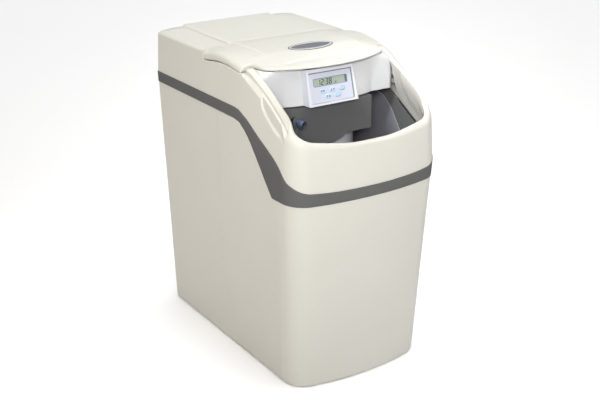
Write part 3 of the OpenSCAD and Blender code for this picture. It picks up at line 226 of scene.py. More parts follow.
# Shapes of the band edges and of the cover crest, depth share against height share
UPPER_EDGE = smooth_curve([
    (-1, 0), (-0.973, 0.01), (-0.928, 0.05), (-0.882, 0.11), (-0.833, 0.18), (-0.765, 0.337),
    (-0.697, 0.455), (-0.593, 0.584), (-0.475, 0.723), (-0.357, 0.88), (-0.294, 0.94),
    (-0.244, 0.985), (-0.19, 1)])
LOWER_EDGE = smooth_curve([
    (-0.661, 0), (-0.57, 0.24), (-0.457, 0.55), (-0.344, 0.83), (-0.294, 0.91), (-0.249, 0.97),
    (-0.181, 1)])
CREST_EDGE = smooth_curve([
    (-1, 0), (-0.968, 0.04), (-0.932, 0.075), (-0.896, 0.104), (-0.86, 0.145), (-0.833, 0.19),
    (-0.805, 0.27), (-0.76, 0.4), (-0.697, 0.52), (-0.62, 0.653), (-0.543, 0.77), (-0.466, 0.85),
    (-0.362, 0.948), (-0.299, 1)])
REF_Y = outline(FRONT_TOP)[1]
UPPER_Z = FRONT_TOP + (BAND_TOP - FRONT_TOP) * UPPER_EDGE(REF_Y / REAR_Y)
LOWER_Z = BAND_FRONT + (BAND_REAR - BAND_FRONT) * LOWER_EDGE(REF_Y / REAR_Y)


def wall_row(z, t):
    """Row of points at heights z, moved in by t from the outline."""
    z = np.broadcast_to(np.asarray(z, float), (N_HALF,))
    x, y, nx, ny = outline(z)
    p = np.stack([x - nx * t, y - ny * t, z], axis=1)
    p[0, 0] = 0
    p[-1, 0] = 0
    return p


# Mesh helpers
WELD = 0.004
SPECK = 0.0001


class Shape:
    """Vertices in millimetres and faces, gathered before one object is made."""

    def __init__(self):
        self.verts = []
        self.faces = []
        self.slots = []

    def add(self, verts, faces, slot=0):
        """Add vertices and the faces between them."""
        base = len(self.verts)
        self.verts.extend(tuple(float(c) for c in v) for v in verts)
        self.faces.extend(tuple(base + i for i in f) for f in faces)
        self.slots.extend([slot] * len(faces))

    def grid(self, rows, slot=0, flip=False, wrap=False):
        """Add faces between rows of points, which are rings where they wrap."""
        rows = np.asarray(rows, float)
        m, n = rows.shape[:2]
        cells = []
        for r in range(m - 1):
            for c in range(n if wrap else n - 1):
                d = (c + 1) % n
                quad = (r * n + c, r * n + d, (r + 1) * n + d, (r + 1) * n + c)
                cells.append(quad[::-1] if flip else quad)
        self.add(rows.reshape(-1, 3), cells, slot)

    def cap(self, n, slot=0):
        """Add a face over the last n vertices."""
        end = len(self.verts)
        self.faces.append(tuple(range(end - n, end)))
        self.slots.append(slot)

    def mirror(self):
        """Add the mirrored right half of everything gathered so far."""
        base = len(self.verts)
        n = len(self.faces)
        self.verts.extend((-x, y, z) for x, y, z in list(self.verts))
        self.faces.extend(tuple(base + i for i in reversed(f)) for f in self.faces[:n])
        self.slots.extend(self.slots[:n])

    def build(self, name, materials, sharp=32, outward=False):
        """Make the object, with doubled points welded and edges past an angle sharp."""
        mesh = bpy.data.meshes.new(name)
        mesh.from_pydata([(x * MM, y * MM, z * MM) for x, y, z in self.verts], [], self.faces)
        for material in materials:
            mesh.materials.append(material)
        mesh.polygons.foreach_set("material_index", self.slots)
        bm = bmesh.new()
        bm.from_mesh(mesh)
        bmesh.ops.remove_doubles(bm, verts=bm.verts, dist=WELD * MM)
        bmesh.ops.dissolve_degenerate(bm, edges=bm.edges, dist=SPECK * MM)
        if outward:
            bmesh.ops.recalc_face_normals(bm, faces=bm.faces)
        bm.to_mesh(mesh)
        bm.free()
        mesh.shade_smooth()
        mesh.set_sharp_from_angle(angle=math.radians(sharp))
        obj = bpy.data.objects.new(name, mesh)
        bpy.context.scene.collection.objects.link(obj)
        return obj


def solidify(obj, thickness):
    mod = obj.modifiers.new("wall", "SOLIDIFY")
    mod.thickness = thickness * MM
    mod.offset = -1


def bevel(obj, width, segments, angle=30):
    mod = obj.modifiers.new("edges", "BEVEL")
    mod.width = width * MM
    mod.segments = segments
    mod.limit_method = "ANGLE"
    mod.angle_limit = math.radians(angle)
    mod.harden_normals = True


# Materials, with noise scales in waves a metre
COAT_ROUGHNESS = 0.2
DRIFT_SCALE = 9.0
GLOSS_SCALE = 40.0
GLOSS_VARY = 0.15
GRAIN_STRENGTH = 0.35
BRUSH_SCALE = 3.0
BRUSH_STRETCH = (60, 900, 900)
BRUSH_VARY = 0.3
BRUSH_DARK = 0.9


def new_material(name, color, roughness, coat=0.0, shine=0.5):
    mat = bpy.data.materials.new(name)
    mat.use_nodes = True
    shader = mat.node_tree.nodes["Principled BSDF"]
    shader.inputs["Base Color"].default_value = (*color, 1)
    shader.inputs["Roughness"].default_value = roughness
    shader.inputs["Coat Weight"].default_value = coat
    shader.inputs["Coat Roughness"].default_value = COAT_ROUGHNESS
    shader.inputs["Specular IOR Level"].default_value = shine
    return mat, mat.node_tree, shader


def noise(tree, scale, detail, roughness=0.55):
    coords = tree.nodes.new("ShaderNodeTexCoord")
    node = tree.nodes.new("ShaderNodeTexNoise")
    node.inputs["Scale"].default_value = scale
    node.inputs["Detail"].default_value = detail
    node.inputs["Roughness"].default_value = roughness
    tree.links.new(coords.outputs["Object"], node.inputs["Vector"])
    return node.outputs["Fac"]


def ramp(tree, source, stops):
    node = tree.nodes.new("ShaderNodeValToRGB")
    elements = node.color_ramp.elements
    while len(elements) < len(stops):
        elements.new(0.5)
    for element, (place, color) in zip(elements, stops):
        element.position = place
        element.color = (*color, 1)
    tree.links.new(source, node.inputs["Fac"])
    return node.outputs["Color"]


def spread(tree, source, low, high):
    node = tree.nodes.new("ShaderNodeMapRange")
    node.inputs["To Min"].default_value = low
    node.inputs["To Max"].default_value = high
    tree.links.new(source, node.inputs["Value"])
    return node.outputs["Result"]


def bump(tree, shader, source, strength, distance):
    node = tree.nodes.new("ShaderNodeBump")
    node.inputs["Strength"].default_value = strength
    node.inputs["Distance"].default_value = distance
    tree.links.new(source, node.inputs["Height"])
    tree.links.new(node.outputs["Normal"], shader.inputs["Normal"])


def moulded(name, color, roughness, grain=900.0, grain_depth=0.00006, vary=0.035, coat=0.0, shine=0.5):
    """Moulded plastic: a faint drift of tone, uneven gloss and a fine grain."""
    mat, tree, shader = new_material(name, color, roughness, coat, shine)
    drift = noise(tree, DRIFT_SCALE, 4.0)
    light = tuple(min(1, c * (1 + vary)) for c in color)
    dark = tuple(c * (1 - vary) for c in color)
    tone = ramp(tree, drift, [(0.3, dark), (0.7, light)])
    tree.links.new(tone, shader.inputs["Base Color"])
    uneven = noise(tree, GLOSS_SCALE, 5.0)
    gloss = spread(tree, uneven, roughness * (1 - GLOSS_VARY), roughness * (1 + GLOSS_VARY))
    tree.links.new(gloss, shader.inputs["Roughness"])
    bump(tree, shader, noise(tree, grain, 2.0, 0.6), GRAIN_STRENGTH, grain_depth)
    return mat


def brushed(name, color, roughness):
    """Metal with fine lines from working."""
    mat, tree, shader = new_material(name, color, roughness)
    shader.inputs["Metallic"].default_value = 1.0
    coords = tree.nodes.new("ShaderNodeTexCoord")
    stretch = tree.nodes.new("ShaderNodeMapping")
    stretch.inputs["Scale"].default_value = BRUSH_STRETCH
    grain = tree.nodes.new("ShaderNodeTexNoise")
    grain.inputs["Scale"].default_value = BRUSH_SCALE
    grain.inputs["Detail"].default_value = 4.0
    tree.links.new(coords.outputs["Object"], stretch.inputs["Vector"])
    tree.links.new(stretch.outputs["Vector"], grain.inputs["Vector"])
    lines = grain.outputs["Fac"]
    gloss = spread(tree, lines, roughness * (1 - BRUSH_VARY), roughness * (1 + BRUSH_VARY))
    tree.links.new(gloss, shader.inputs["Roughness"])
    dark = tuple(c * BRUSH_DARK for c in color)
    tone = ramp(tree, lines, [(0.3, dark), (0.7, color)])
    tree.links.new(tone, shader.inputs["Base Color"])
    return mat


shell_white = moulded("shell_white", (0.48, 0.468, 0.42), 0.48, vary=0.012, shine=0.32)
fascia_white = moulded("fascia_white", (0.487, 0.488, 0.488), 0.48, vary=0.012, shine=0.32)
# Dark grey of the cabinet's inner faces: painted shade for the unlit inside of the bay, the plastic being the
# same as outside
inside_painted_shade = moulded("inside_painted_shade", (0.13, 0.13, 0.145), 0.5, grain=900, vary=0.05)
band_grey = moulded("band_grey", (0.096, 0.096, 0.094), 0.7, grain=1400, vary=0.06, shine=0.03)
dark_grey = moulded("dark_grey", (0.08, 0.08, 0.08), 0.5, grain=1400, vary=0.08)
blue_grey = moulded("blue_grey", (0.045, 0.065, 0.115), 0.38, vary=0.06)
light_grey = moulded("light_grey", (0.5, 0.51, 0.53), 0.42, vary=0.03)
vessel_white = moulded("vessel_white", (0.46, 0.465, 0.5), 0.34, grain=300, vary=0.02)
# Black rubber of the feet and switch; on the drain stub the same black lines the bore as painted shade inside
# the hole
black_rubber_and_bore_shade = moulded("black_rubber_and_bore_shade", (0.03, 0.03, 0.033), 0.62, vary=0.1)
overlay_film = moulded("overlay_film", (0.44, 0.45, 0.51), 0.3, grain=2500, vary=0.015)
case_white = moulded("case_white", (0.51, 0.525, 0.56), 0.42, vary=0.012, shine=0.32)
lcd_face = moulded("lcd_face", (0.29, 0.33, 0.27), 0.16, grain=200, vary=0.03, coat=0.6)
# Dark strip at the display's right end: painted shade from its frame
lcd_painted_shade = moulded("lcd_painted_shade", (0.11, 0.125, 0.115), 0.3, vary=0.05)
lcd_edge = moulded("lcd_edge", (0.13, 0.19, 0.28), 0.25, vary=0.03)
lcd_ink = moulded("lcd_ink", (0.03, 0.036, 0.03), 0.35, vary=0.05)
key_blue = moulded("key_blue", (0.03, 0.25, 0.48), 0.32, vary=0.03, coat=0.2)
key_ring = moulded("key_ring", (0.15, 0.36, 0.56), 0.32, vary=0.03)
key_pale = moulded("key_pale", (0.46, 0.49, 0.57), 0.35, vary=0.02)
badge_rim = moulded("badge_rim", (0.42, 0.43, 0.44), 0.4, vary=0.06)
badge_edge = moulded("badge_edge", (0.03, 0.031, 0.033), 0.4, grain=1800, vary=0.15)
badge_field = moulded("badge_field", (0.10, 0.103, 0.108), 0.42, grain=1800, vary=0.2)
# Dark grey frame round the control film: painted shadow lines along the top and right of its recess
painted_shadow_frame = moulded("painted_shadow_frame", (0.16, 0.165, 0.18), 0.5, vary=0.05)
steel = brushed("steel", (0.62, 0.62, 0.64), 0.3)
board_green = moulded("board_green", (0.02, 0.12, 0.06), 0.4, vary=0.1)
gear_white = moulded("gear_white", (0.76, 0.74, 0.67), 0.4, vary=0.03)
ceramic = moulded("ceramic", (0.72, 0.72, 0.71), 0.18, vary=0.02)
turbine_red = moulded("turbine_red", (0.55, 0.10, 0.07), 0.36, vary=0.05)
resin_amber = moulded("resin_amber", (0.55, 0.27, 0.07), 0.45, grain=1500, grain_depth=0.0006, vary=0.2)
float_yellow = moulded("float_yellow", (0.8, 0.5, 0.1), 0.6, grain=600, grain_depth=0.0003, vary=0.08)


# Cabinet
RELIEF_LINE = smooth_curve([
    (10, -10), (45, -10.5), (83, 0), (103, 15), (112, 22), (130, 25), (230, 20), (420, 10)])
RELIEF = 0.8
RELIEF_W = 14.0
RELIEF_END = -175.0
RELIEF_FADE = 20.0
RIM_R = 0.8
RIM_LOW = LOWER_Z - RIM_R
FLOOR_R = 4.0


def side_shift(z):
    """Step of the side relief at each station, outward."""
    x, y, nx, ny = outline(z)
    front = ease((RELIEF_LINE(z) - y) / RELIEF_W + 0.5)
    fade = ease((y - RELIEF_END) / RELIEF_FADE)
    return RELIEF * front * fade * (np.abs(nx) > 0.999)


def cabinet_outside():
    """Rows from under the foot up the outer side and over the rim."""
    rows = [wall_row(FOOT_R * (1 - np.cos(a)), FOOT_R * (1 - np.sin(a))) for a in quarter(7)]
    for s in np.linspace(0, 1, 90)[1:]:
        z = FOOT_R + s * (RIM_LOW - FOOT_R)
        rows.append(wall_row(z, -side_shift(z)))
    for a in quarter(4)[1:]:
        rows.append(wall_row(RIM_LOW + RIM_R * np.sin(a), RIM_R * (1 - np.cos(a))))
    for a in quarter(3):
        rows.append(wall_row(RIM_LOW + RIM_R * np.cos(a), WALL - RIM_R + RIM_R * np.sin(a)))
    return rows


def cabinet_inside():
    """Rows from the rim down the inner side to the rounded floor."""
    floor = FLOOR_T + FLOOR_R
    rows = [wall_row(RIM_LOW + s * (floor - RIM_LOW), WALL) for s in np.linspace(0, 1, 14)]
    for a in quarter(4)[1:]:
        rows.append(wall_row(floor - FLOOR_R * np.sin(a), WALL + FLOOR_R * (1 - np.cos(a))))
    return rows


def make_cabinet():
    shape = Shape()
    shape.grid(cabinet_outside())
    # The inner faces take the dark grey of painted shade
    shape.grid(cabinet_inside(), slot=1)
    half = len(shape.verts)
    shape.mirror()
    for slot, row in enumerate((0, half - N_HALF)):
        left = [row + k for k in range(N_HALF)]
        right = [half + row + k for k in range(N_HALF - 2, 0, -1)]
        shape.faces.append(tuple(left + right))
        shape.slots.append(slot)
    obj = shape.build("cabinet_body", [shell_white, inside_painted_shade], outward=True)
    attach(obj, "cabinet")
    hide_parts("cabinet_shell")


# Band, a little less proud than in the solid model so that it stays inside it
BAND_PROUD = 0.95
BAND_EDGE = 0.7


def make_band():
    edge = BAND_EDGE
    rows = []
    for a in quarter(4):
        rows.append(wall_row(LOWER_Z + edge * (1 - np.cos(a)), -BAND_PROUD + edge * (1 - np.sin(a))))
    for s in np.linspace(0, 1, 7)[1:-1]:
        rows.append(wall_row(LOWER_Z + edge + s * (UPPER_Z - LOWER_Z - 2 * edge), -BAND_PROUD))
    for a in quarter(4)[::-1]:
        rows.append(wall_row(UPPER_Z - edge * (1 - np.cos(a)), -BAND_PROUD + edge * (1 - np.sin(a))))
    rows.append(wall_row(UPPER_Z, WALL))
    rows.append(wall_row(LOWER_Z, WALL))
    rows.append(rows[0])
    shape = Shape()
    shape.grid(rows)
    shape.mirror()
    obj = shape.build("trim_band_ring", [band_grey], outward=True)
    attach(obj, "cabinet")
    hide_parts("trim_band")


# Top cover: a wall, a rounded shoulder, then the rail, the lip or the strip, and a liner in the bay
STRIP_TOP = smooth_curve([(STRIP_IN, 504.3), (95, 504.4), (110, 503.8), (128, 502.2), (137, 501.0)])
STRIP_R = 4.5
STRIP_EDGE = 1.2
REAR_INSETS = (2.2, 3.0)
REAR_OPEN = 89.0
N_EDGE = 8
N_TOP = N_EDGE + 1 + len(STRIP_XS)
N_LINER = 8
COVER_T = 1.6
COVER_FOOT = 0.6
LINER_LOW = 2.0
LINER_TURN = 4.0
LINER_FIT = 0.4
# swelling of the liner behind the finger grip
BULGE = 1.5
BULGE_REAR = -118.0
BULGE_FRONT = -180.0
BULGE_FADE = 3.0
BULGE_BELOW = 6.0
BULGE_EDGE = 1.6
WALL_STEPS = np.concatenate([np.arange(0.4, 4, 0.6), np.arange(4.2, 31, 0.7)])
# seam under the wings of the lid, and forms of the rail along the depth
SEAM_Z = smooth_curve([
    (-61, 488.7), (-50, 489.1), (-38, 490.3), (-23, 492.1), (-8, 493.0), (5, 492.6), (17, 491.8), (30, 489.9),
    (47, 487.4), (58, 487.0)])
RIDGE_UP = smooth_curve([
    (-221, 0), (-217, 2), (-212, 4), (-205, 7.4), (-193, 10), (-185, 10.8), (-175, 10), (-160, 7.6),
    (-145, 6), (-130, 5), (-115, 5), (-100, 5.9), (-80, 9), (-69, 8.8), (-61, 7.8)])
RISER_UP = smooth_curve([
    (-178, 1.2), (-165, 0.2), (-125, 0.2), (-110, 1.2), (-95, 3.2), (-80, 5.6), (-61, 6)])
EDGE_LOW = smooth_curve([
    (-183, 2), (-172, 5), (-160, 5.6), (-125, 5.6), (-110, 3.6), (-95, 2.2), (-80, 1.3), (-61, 0.9)])
EDGE_W = smooth_curve([(-178, 5.0), (-165, 5.6), (-125, 5.6), (-110, 5.6), (-95, 5.4), (-61, 5.4)])
STEP_SHARE = smooth_curve([(-183, 0), (-176, 1)])
SHOULDER = smooth_curve([
    (-221, 6), (-205, 8), (-190, 9.5), (-178, 9), (-172, 8.5), (-116, 9), (-109, 11), (-95, 10),
    (-80, 8), (-69, 6), (-61, 5)])
OPEN_IN = smooth_curve([
    (-221, 10), (-210, 10.5), (-200, 11.5), (-190, 12.8), (-180, 13.8), (-165, 14.6), (-150, 15),
    (-130, 16), (-110, 17.4), (-61, 18.4)])
EDGE_R = 1.4
# share of the outer band taken by its rounded edge, and shares of the points beyond
BAND_NEAR = 0.35
BAND_SHARES = (0.57, 0.78, 1.0)
# riser from the band to the ridge: way across, share of the riser, share of the ridge over it
RISER_PATH = (
    (0.0, 0.0, 0.0), (0.3, 0.08, 0.0), (0.5, 0.45, 0.0), (0.75, 0.85, 0.0), (1.2, 0.98, 0.0), (1.9, 1, 0.08),
    (3.2, 1, 0.28), (4.7, 1, 0.52), (6.2, 1, 0.75), (7.4, 1, 0.9), (8.2, 1, 0.98))
RISER_IN = 0.4
RISER_SPAN = 8.8
# rounded inner edge of the rail: distance from the opening, fall
RAIL_EDGE = ((4.0, 0.0), (2.2, 0.5), (1.0, 1.5), (0.25, 3.0), (0.0, 5.0))
SEAT_R = 1.6
SEAT_DROP = 0.4
BACK_EDGE = 1.5
GRIP_D = 3.2
GRIP_REAR = -111.5
GRIP_REAR_W = 3.0
GRIP_FRONT = -168.5
GRIP_FRONT_W = 3.5
GRIP_LIP = 5.6
GRIP_END = smooth_curve([
    (-172, 12), (-169, 21), (-165, 25.5), (-159, 28), (-147, 29.6), (-134, 29.4), (-124, 27), (-117, 23.5),
    (-115, 20), (-113.5, 14), (-112, 7)])

STATION = np.arange(N_HALF)
IS_STRIP = STATION < I_SIDE + int(np.sum(SIDE_YS > END_Y))
IS_BACK = STATION < I_SIDE
IS_REAR = (STATION < I_ARC) & (np.abs(outline(BAND_TOP)[0]) < REAR_OPEN)
IS_SEAT = (REF_Y > WING_END) & ~IS_STRIP
REAR_X = np.abs(outline(BAND_TOP)[0]) * CREST_HALF / half_w(BAND_TOP)


def crest_height():
    """Height of the outer crest of the cover at every station."""
    z = LIP_Z + (SEAT_Z - LIP_Z) * CREST_EDGE(REF_Y / REAR_Y)
    into = np.clip(REF_Y - (END_Y - FILLET_R), 0, FILLET_R)
    fillet = FILLET_R - np.sqrt(FILLET_R ** 2 - into ** 2)
    z = np.where(IS_SEAT, SEAM_Z(REF_Y) - SEAT_DROP + fillet, z)
    z = np.where(IS_STRIP, STRIP_Z, z)
    return np.where(IS_REAR, REAR_Z, z)


CREST_Z = crest_height()


def edge_in():
    """How far the finger grip cuts into the rail at every station."""
    share = ease((GRIP_REAR - REF_Y) / GRIP_REAR_W) * ease((REF_Y - GRIP_FRONT) / GRIP_FRONT_W)
    return np.where(IS_SEAT | IS_STRIP, 0, GRIP_D * share)


def band_slope():
    """Slope of the rail's outer band, from its outer edge up to the riser."""
    return np.where(IS_SEAT, 0, (SHOULDER(REF_Y) - EDGE_R - EDGE_LOW(REF_Y)) / EDGE_W(REF_Y))


def shoulder_drop():
    """Height of the rounded shoulder below the crest at every station."""
    drop = EDGE_LOW(REF_Y) + EDGE_R + band_slope() * (EDGE_W(REF_Y) - edge_in())
    drop = np.where(IS_SEAT, SEAT_R, drop)
    drop = np.where(IS_STRIP, STRIP_R, drop)
    return np.where(IS_REAR, BACK_EDGE, drop)


def grip_depth(drop):
    """Depth of the finger grip in the wall at a drop below the crest."""
    return edge_in() * ease((GRIP_END(REF_Y) - drop) / GRIP_LIP)


def cover_row(t, z):
    """Row of the cover: moved in by t from its leaning wall, at heights z."""
    x, y, nx, ny = outline(UPPER_Z)
    z = np.broadcast_to(z, (N_HALF,))
    lean = np.maximum(z - UPPER_Z, 0) * COVER_LEAN
    px = x - nx * (lean + t)
    py = y - ny * (lean + t)
    half = half_w(UPPER_Z)
    scale = (half - lean - REAR_R) / (half - REAR_R)
    back_x = np.where(STATION < I_ARC, x * scale, x + lean) - nx * t
    px = np.where(IS_BACK, back_x, px)
    py = np.where(IS_BACK, y - ny * t, py)
    p = np.stack([px, py, z], axis=1)
    p[0, 0] = 0
    p[-1, 0] = 0
    return p


def strip_point(k):
    """Inset and height of a point of the side strips and of the rear edge."""
    r = shoulder_drop()
    if k < N_EDGE:
        a = math.radians(90 * k / (N_EDGE - 1))
        t = r * (1 - math.cos(a))
        fall = r * (1 - math.sin(a))
    else:
        j = max(k - N_EDGE - 1, 0)
        t = np.full(N_HALF, CREST_HALF - STRIP_XS[j])
        t = t if k > N_EDGE else (t + STRIP_R) / 2
        t = np.where(IS_REAR, REAR_INSETS[int(k > N_EDGE)], t)
        fall = arc_fall(STRIP_XS[j] - STRIP_IN, STRIP_EDGE) * (k > N_EDGE)
    place = np.where(STATION < I_ARC, REAR_X, CREST_HALF - t)
    z = np.where(IS_REAR, REAR_Z, STRIP_TOP(place)) - fall
    return t, z


def band_point(k):
    """Inset and height of a point of the outer band, from its rounded edge to the riser."""
    start = edge_in()
    width = EDGE_W(REF_Y) - start
    rise = band_slope() * width
    round_h = np.where(IS_SEAT, SEAT_R, EDGE_R)
    corner = np.where(IS_SEAT, 0, -EDGE_LOW(REF_Y) - rise)
    near = BAND_NEAR
    if k > 4:
        share = BAND_SHARES[k - 5]
        return start + share * width, corner + share * rise
    u = k / 4
    t = start + u * u * near * width
    return t, corner - (1 - u) ** 2 * round_h + u * u * near * rise


def rail_point(k):
    """Inset and height of a point of the rails, the lip and the seat under the lid."""
    ridge = np.where(IS_SEAT, 0, RIDGE_UP(REF_Y))
    riser = np.where(IS_SEAT, 0, RISER_UP(REF_Y))
    low = np.where(IS_SEAT, 0, EDGE_LOW(REF_Y))
    share = np.where(IS_SEAT, 1, STEP_SHARE(REF_Y))
    drop = shoulder_drop()
    inner = OPEN_IN(REF_Y)
    top = inner - RAIL_EDGE[0][0]
    rising = N_TOP - len(RAIL_EDGE)
    if k >= rising:
        back, fall = RAIL_EDGE[k - rising]
        return inner - back, CREST_Z + ridge - fall
    a = math.radians(90 * k / rising)
    smooth_t = top * (1 - math.cos(a))
    smooth_z = (ridge + drop) * math.sin(a) - drop
    if k < N_EDGE:
        step_t, step_z = band_point(k)
    else:
        t, up, over = RISER_PATH[k - N_EDGE]
        step_t = EDGE_W(REF_Y) + RISER_IN + t * (top - EDGE_W(REF_Y)) / RISER_SPAN
        step_z = (riser + low) * up - low + (ridge - riser) * over
    t = share * step_t + (1 - share) * smooth_t
    z = share * step_z + (1 - share) * smooth_z
    return np.minimum(t, top), CREST_Z + z


def cover_line(k):
    """Row k over the top of the cover, from its shoulder to the inner edge."""
    strip_t, strip_z = strip_point(k)
    rail_t, rail_z = rail_point(k)
    return cover_row(np.where(IS_STRIP, strip_t, rail_t), np.where(IS_STRIP, strip_z, rail_z))


def liner_row(s):
    """Row of the bay's inner wall, from the inner edge at 0 to the band at 1."""
    strip_t, strip_z = strip_point(N_TOP - 1)
    rail_t, rail_z = rail_point(N_TOP - 1)
    bay = REF_Y < BAY_Y
    low = UPPER_Z + LINER_LOW
    z = np.where(bay, rail_z + s * (low - rail_z), rail_z - LINER_TURN * s)
    along = ease((BULGE_REAR - REF_Y) / BULGE_FADE) * ease((REF_Y - BULGE_FRONT) / BULGE_FADE)
    bulge = BULGE * along * ease((GRIP_END(REF_Y) + BULGE_BELOW - CREST_Z + z) / BULGE_EDGE)
    t = np.where(bay, rail_t + s * (WALL + LINER_FIT - rail_t) + bulge * (s > 0), rail_t)
    return cover_row(np.where(IS_STRIP, strip_t, t), np.where(IS_STRIP, strip_z - LINER_TURN * s, z))


def make_top_cover():
    low = COVER_FOOT
    outer = []
    for a in quarter(3):
        outer.append(cover_row(low * (1 - np.sin(a)), UPPER_Z + low * (1 - np.cos(a))))
    top = CREST_Z - shoulder_drop()
    foot = UPPER_Z + low
    steps = WALL_STEPS[::-1]
    start = top - steps[0]
    for s in np.linspace(0, 1, 14)[1:-1]:
        z = foot + s * (start - foot)
        outer.append(cover_row(grip_depth(CREST_Z - z), z))
    for step in steps:
        outer.append(cover_row(grip_depth(CREST_Z - top + step), top - step))
    inner = N_EDGE + 1
    outer += [cover_line(k) for k in range(inner + 1)]
    over = [cover_line(k) for k in range(inner, N_TOP)]
    over += [liner_row(s) for s in np.linspace(0, 1, N_LINER + 1)[1:]]
    shape = Shape()
    shape.grid(outer)
    shape.grid([row[I_SIDE - 1:] for row in over])
    shape.mirror()
    obj = shape.build("cover_moulding", [shell_white])
    solidify(obj, COVER_T)
    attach(obj, "cabinet")
    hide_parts("top_cover")


# Lid
WING_INSET = 1.3
WING_HALF = half_w(BAND_TOP) - (SEAT_Z - BAND_TOP) * COVER_LEAN - WING_INSET
PANEL_HALF = 87.6
PANEL_R = 5.0
PANEL_DROP = 3.4
PANEL_POWER = 1.6
PANEL_LOW = 505.0
PANEL_FOOT = 501.0
BACK_R = 1.8
LID_T = 2.4
LINE_Y = 53.0
LINE_D = 0.5
LINE_W = 0.9
PANEL_END = REAR_Y - 0.5
WING_BACK = CREASE_Y - 0.6
RIDGE_Z = smooth_curve([
    (-101, 498), (-96, 499), (-82, 502.4), (-67, 506.2), (-46, 510.2), (-14, 511.5), (23, 510.9), (44, 508.6),
    (58, 507.7), (220, 507.3)])
CENTRE_Z = smooth_curve([
    (-117, 497.6), (-100, 500.4), (-82, 504.0), (-67, 507.4), (-46, 510.8), (-14, 512.2), (20, 511.4),
    (44, 509.0), (58, 508.3), (90, 508.3), (150, 508.2), (220, 507.6)])
WING_Z = smooth_curve([
    (-95, 496.0), (-80, 496.4), (-62, 497.0), (-45, 500.4), (-30, 503.2), (-15, 505.4), (0, 506.4), (15, 506),
    (30, 504.4), (45, 501.6), (58, 499.8)])
STEP_H = smooth_curve([(-75, 0), (-50, 0.9), (-14, 1.5), (30, 2.2), (58, 2.4), (220, 2.4)])
NOSE_EDGE = smooth_curve([
    (0, -116), (23, -114.6), (46, -111), (70, -105), (85, -100), (97, -95.4), (104.5, -91), (109.5, -85.6),
    (112.2, -77), (114, -68), (116, -60.8), (118.5, -58.8), (124, -58.4), (136.5, -58.4)])
SKIRT_NOSE = 494.6
SKIRT_CREASE = SEAT_Z + 4.2
NOTCH_X = 119.0
NOSE_REACH = 1.6
CREASE_R = 1.6
NOSE_R = 2.6
WING_TIP = 132.0
WING_POWER = 1.15
STEP_IN = 3.0
STEP_W = 3.6
CRESCENT_W = 27.0
CRESCENT_HALF = 88.0
CRESCENT_IN = 6.0
CRESCENT_D = 1.4
CRESCENT_POWER = 2.4
CRESCENT_FALL = 0.8
CRESCENT_STEP = 0.08
CRESCENT_MIN = 0.5
CRESCENT_FULL = 14.0
RIM_Z = 497.4
RIM_RISE = 1.4
RIM_SLOPE = 0.16
RIM_W = 15.0
RIM_FROM = 60.0
RIM_SPAN = 50.0
RIM_END = 118.0
RIM_FADE = 10.0
WING_R = 7.0
HEEL_R = 2.6
WING_GAP = 0.9
SLOPE_STEP = 0.2
LID_EDGE = quarter(7)


def lid_skin(a, y):
    """Height of the crowned middle of the lid and, a step lower, of its wings."""
    ridge = RIDGE_Z(y)
    crown = (CENTRE_Z(y) - ridge) * (1 - np.clip(a / PANEL_HALF, 0, 1) ** 2)
    wing_in = ridge - STEP_H(y)
    s = np.clip((a - PANEL_HALF) / (WING_TIP - PANEL_HALF), 0, 1.1)
    wing = wing_in + (WING_Z(y) - wing_in) * s ** WING_POWER
    step = ease((a - PANEL_HALF + STEP_IN) / STEP_W)
    crease = LINE_D * np.exp(-((y - LINE_Y) / LINE_W) ** 2)
    return (1 - step) * (ridge + crown - crease) + step * wing


def crescent(a, from_edge):
    """Depth of the crescent behind the front rim."""
    width = CRESCENT_W * np.clip(1 - (a / CRESCENT_HALF) ** CRESCENT_POWER, 0, 1)
    s = np.clip((from_edge - CRESCENT_IN) / np.maximum(width, 1e-6), 0, 1)
    rise = ease((s - 1 + CRESCENT_STEP) / CRESCENT_STEP)
    depth = CRESCENT_D * ease(s / CRESCENT_FALL) * (1 - rise)
    return np.where(width > CRESCENT_MIN, depth, 0) * ease(width / CRESCENT_FULL)


def lid_height(x, y):
    """Height of the lid's skin before its edges are rounded."""
    a = np.abs(x)
    from_edge = y - NOSE_EDGE(a)
    z = lid_skin(a, y) - crescent(a, from_edge)
    rim = RIM_Z + RIM_RISE * ease((a - RIM_FROM) / RIM_SPAN) + RIM_SLOPE * from_edge
    near = ease(1 - from_edge / RIM_W) * ease((RIM_END - a) / RIM_FADE)
    return z * (1 - near) + np.minimum(z, rim) * near


def edge_slope(a):
    """Slope of the lid's front edge at a distance from the middle."""
    return (NOSE_EDGE(a + SLOPE_STEP) - NOSE_EDGE(np.maximum(a - SLOPE_STEP, 0))) / (2 * SLOPE_STEP)


def heel(into):
    """Rise of a rounded lower corner, at a distance into it."""
    into = np.clip(into, 0, HEEL_R)
    return HEEL_R - np.sqrt(HEEL_R ** 2 - into ** 2)


def wing_foot(y):
    """Lower edge of a wing: a little above the seat, with a rounded heel at both ends."""
    ends = heel(y - WING_BACK + HEEL_R) + heel(NOSE_EDGE(WING_HALF) + HEEL_R - y)
    return SEAM_Z(y) + WING_GAP + ends


def lid_places():
    """Places across the lid, closer at its edges and steps."""
    side = WING_HALF - WING_R * (1 - np.cos(LID_EDGE))
    half = np.concatenate([
        side, np.linspace(side[-1], 120, 7)[1:], np.arange(119.4, 102, -0.6), np.linspace(101, 90.5, 8),
        np.arange(90, 84.4, -0.6), np.linspace(83, 0, 24)])
    half = np.unique(np.round(half, 4))
    return np.concatenate([-half[:0:-1], half])


def panel_places():
    """Places across the rear panel, closer at its falling sides."""
    side = PANEL_HALF - PANEL_R * np.linspace(0, 1, 9)
    flat = LID_XS[np.abs(LID_XS) < PANEL_HALF - PANEL_R - 0.1]
    return np.unique(np.round(np.concatenate([flat, side, -side]), 4))


LID_XS = lid_places()
PANEL_XS = panel_places()


def drop_to(row, z, shares):
    """Copies of a row, let down by shares of the way to the heights z."""
    return [np.column_stack([row[:, :2], row[:, 2] + s * (z - row[:, 2])]) for s in shares]


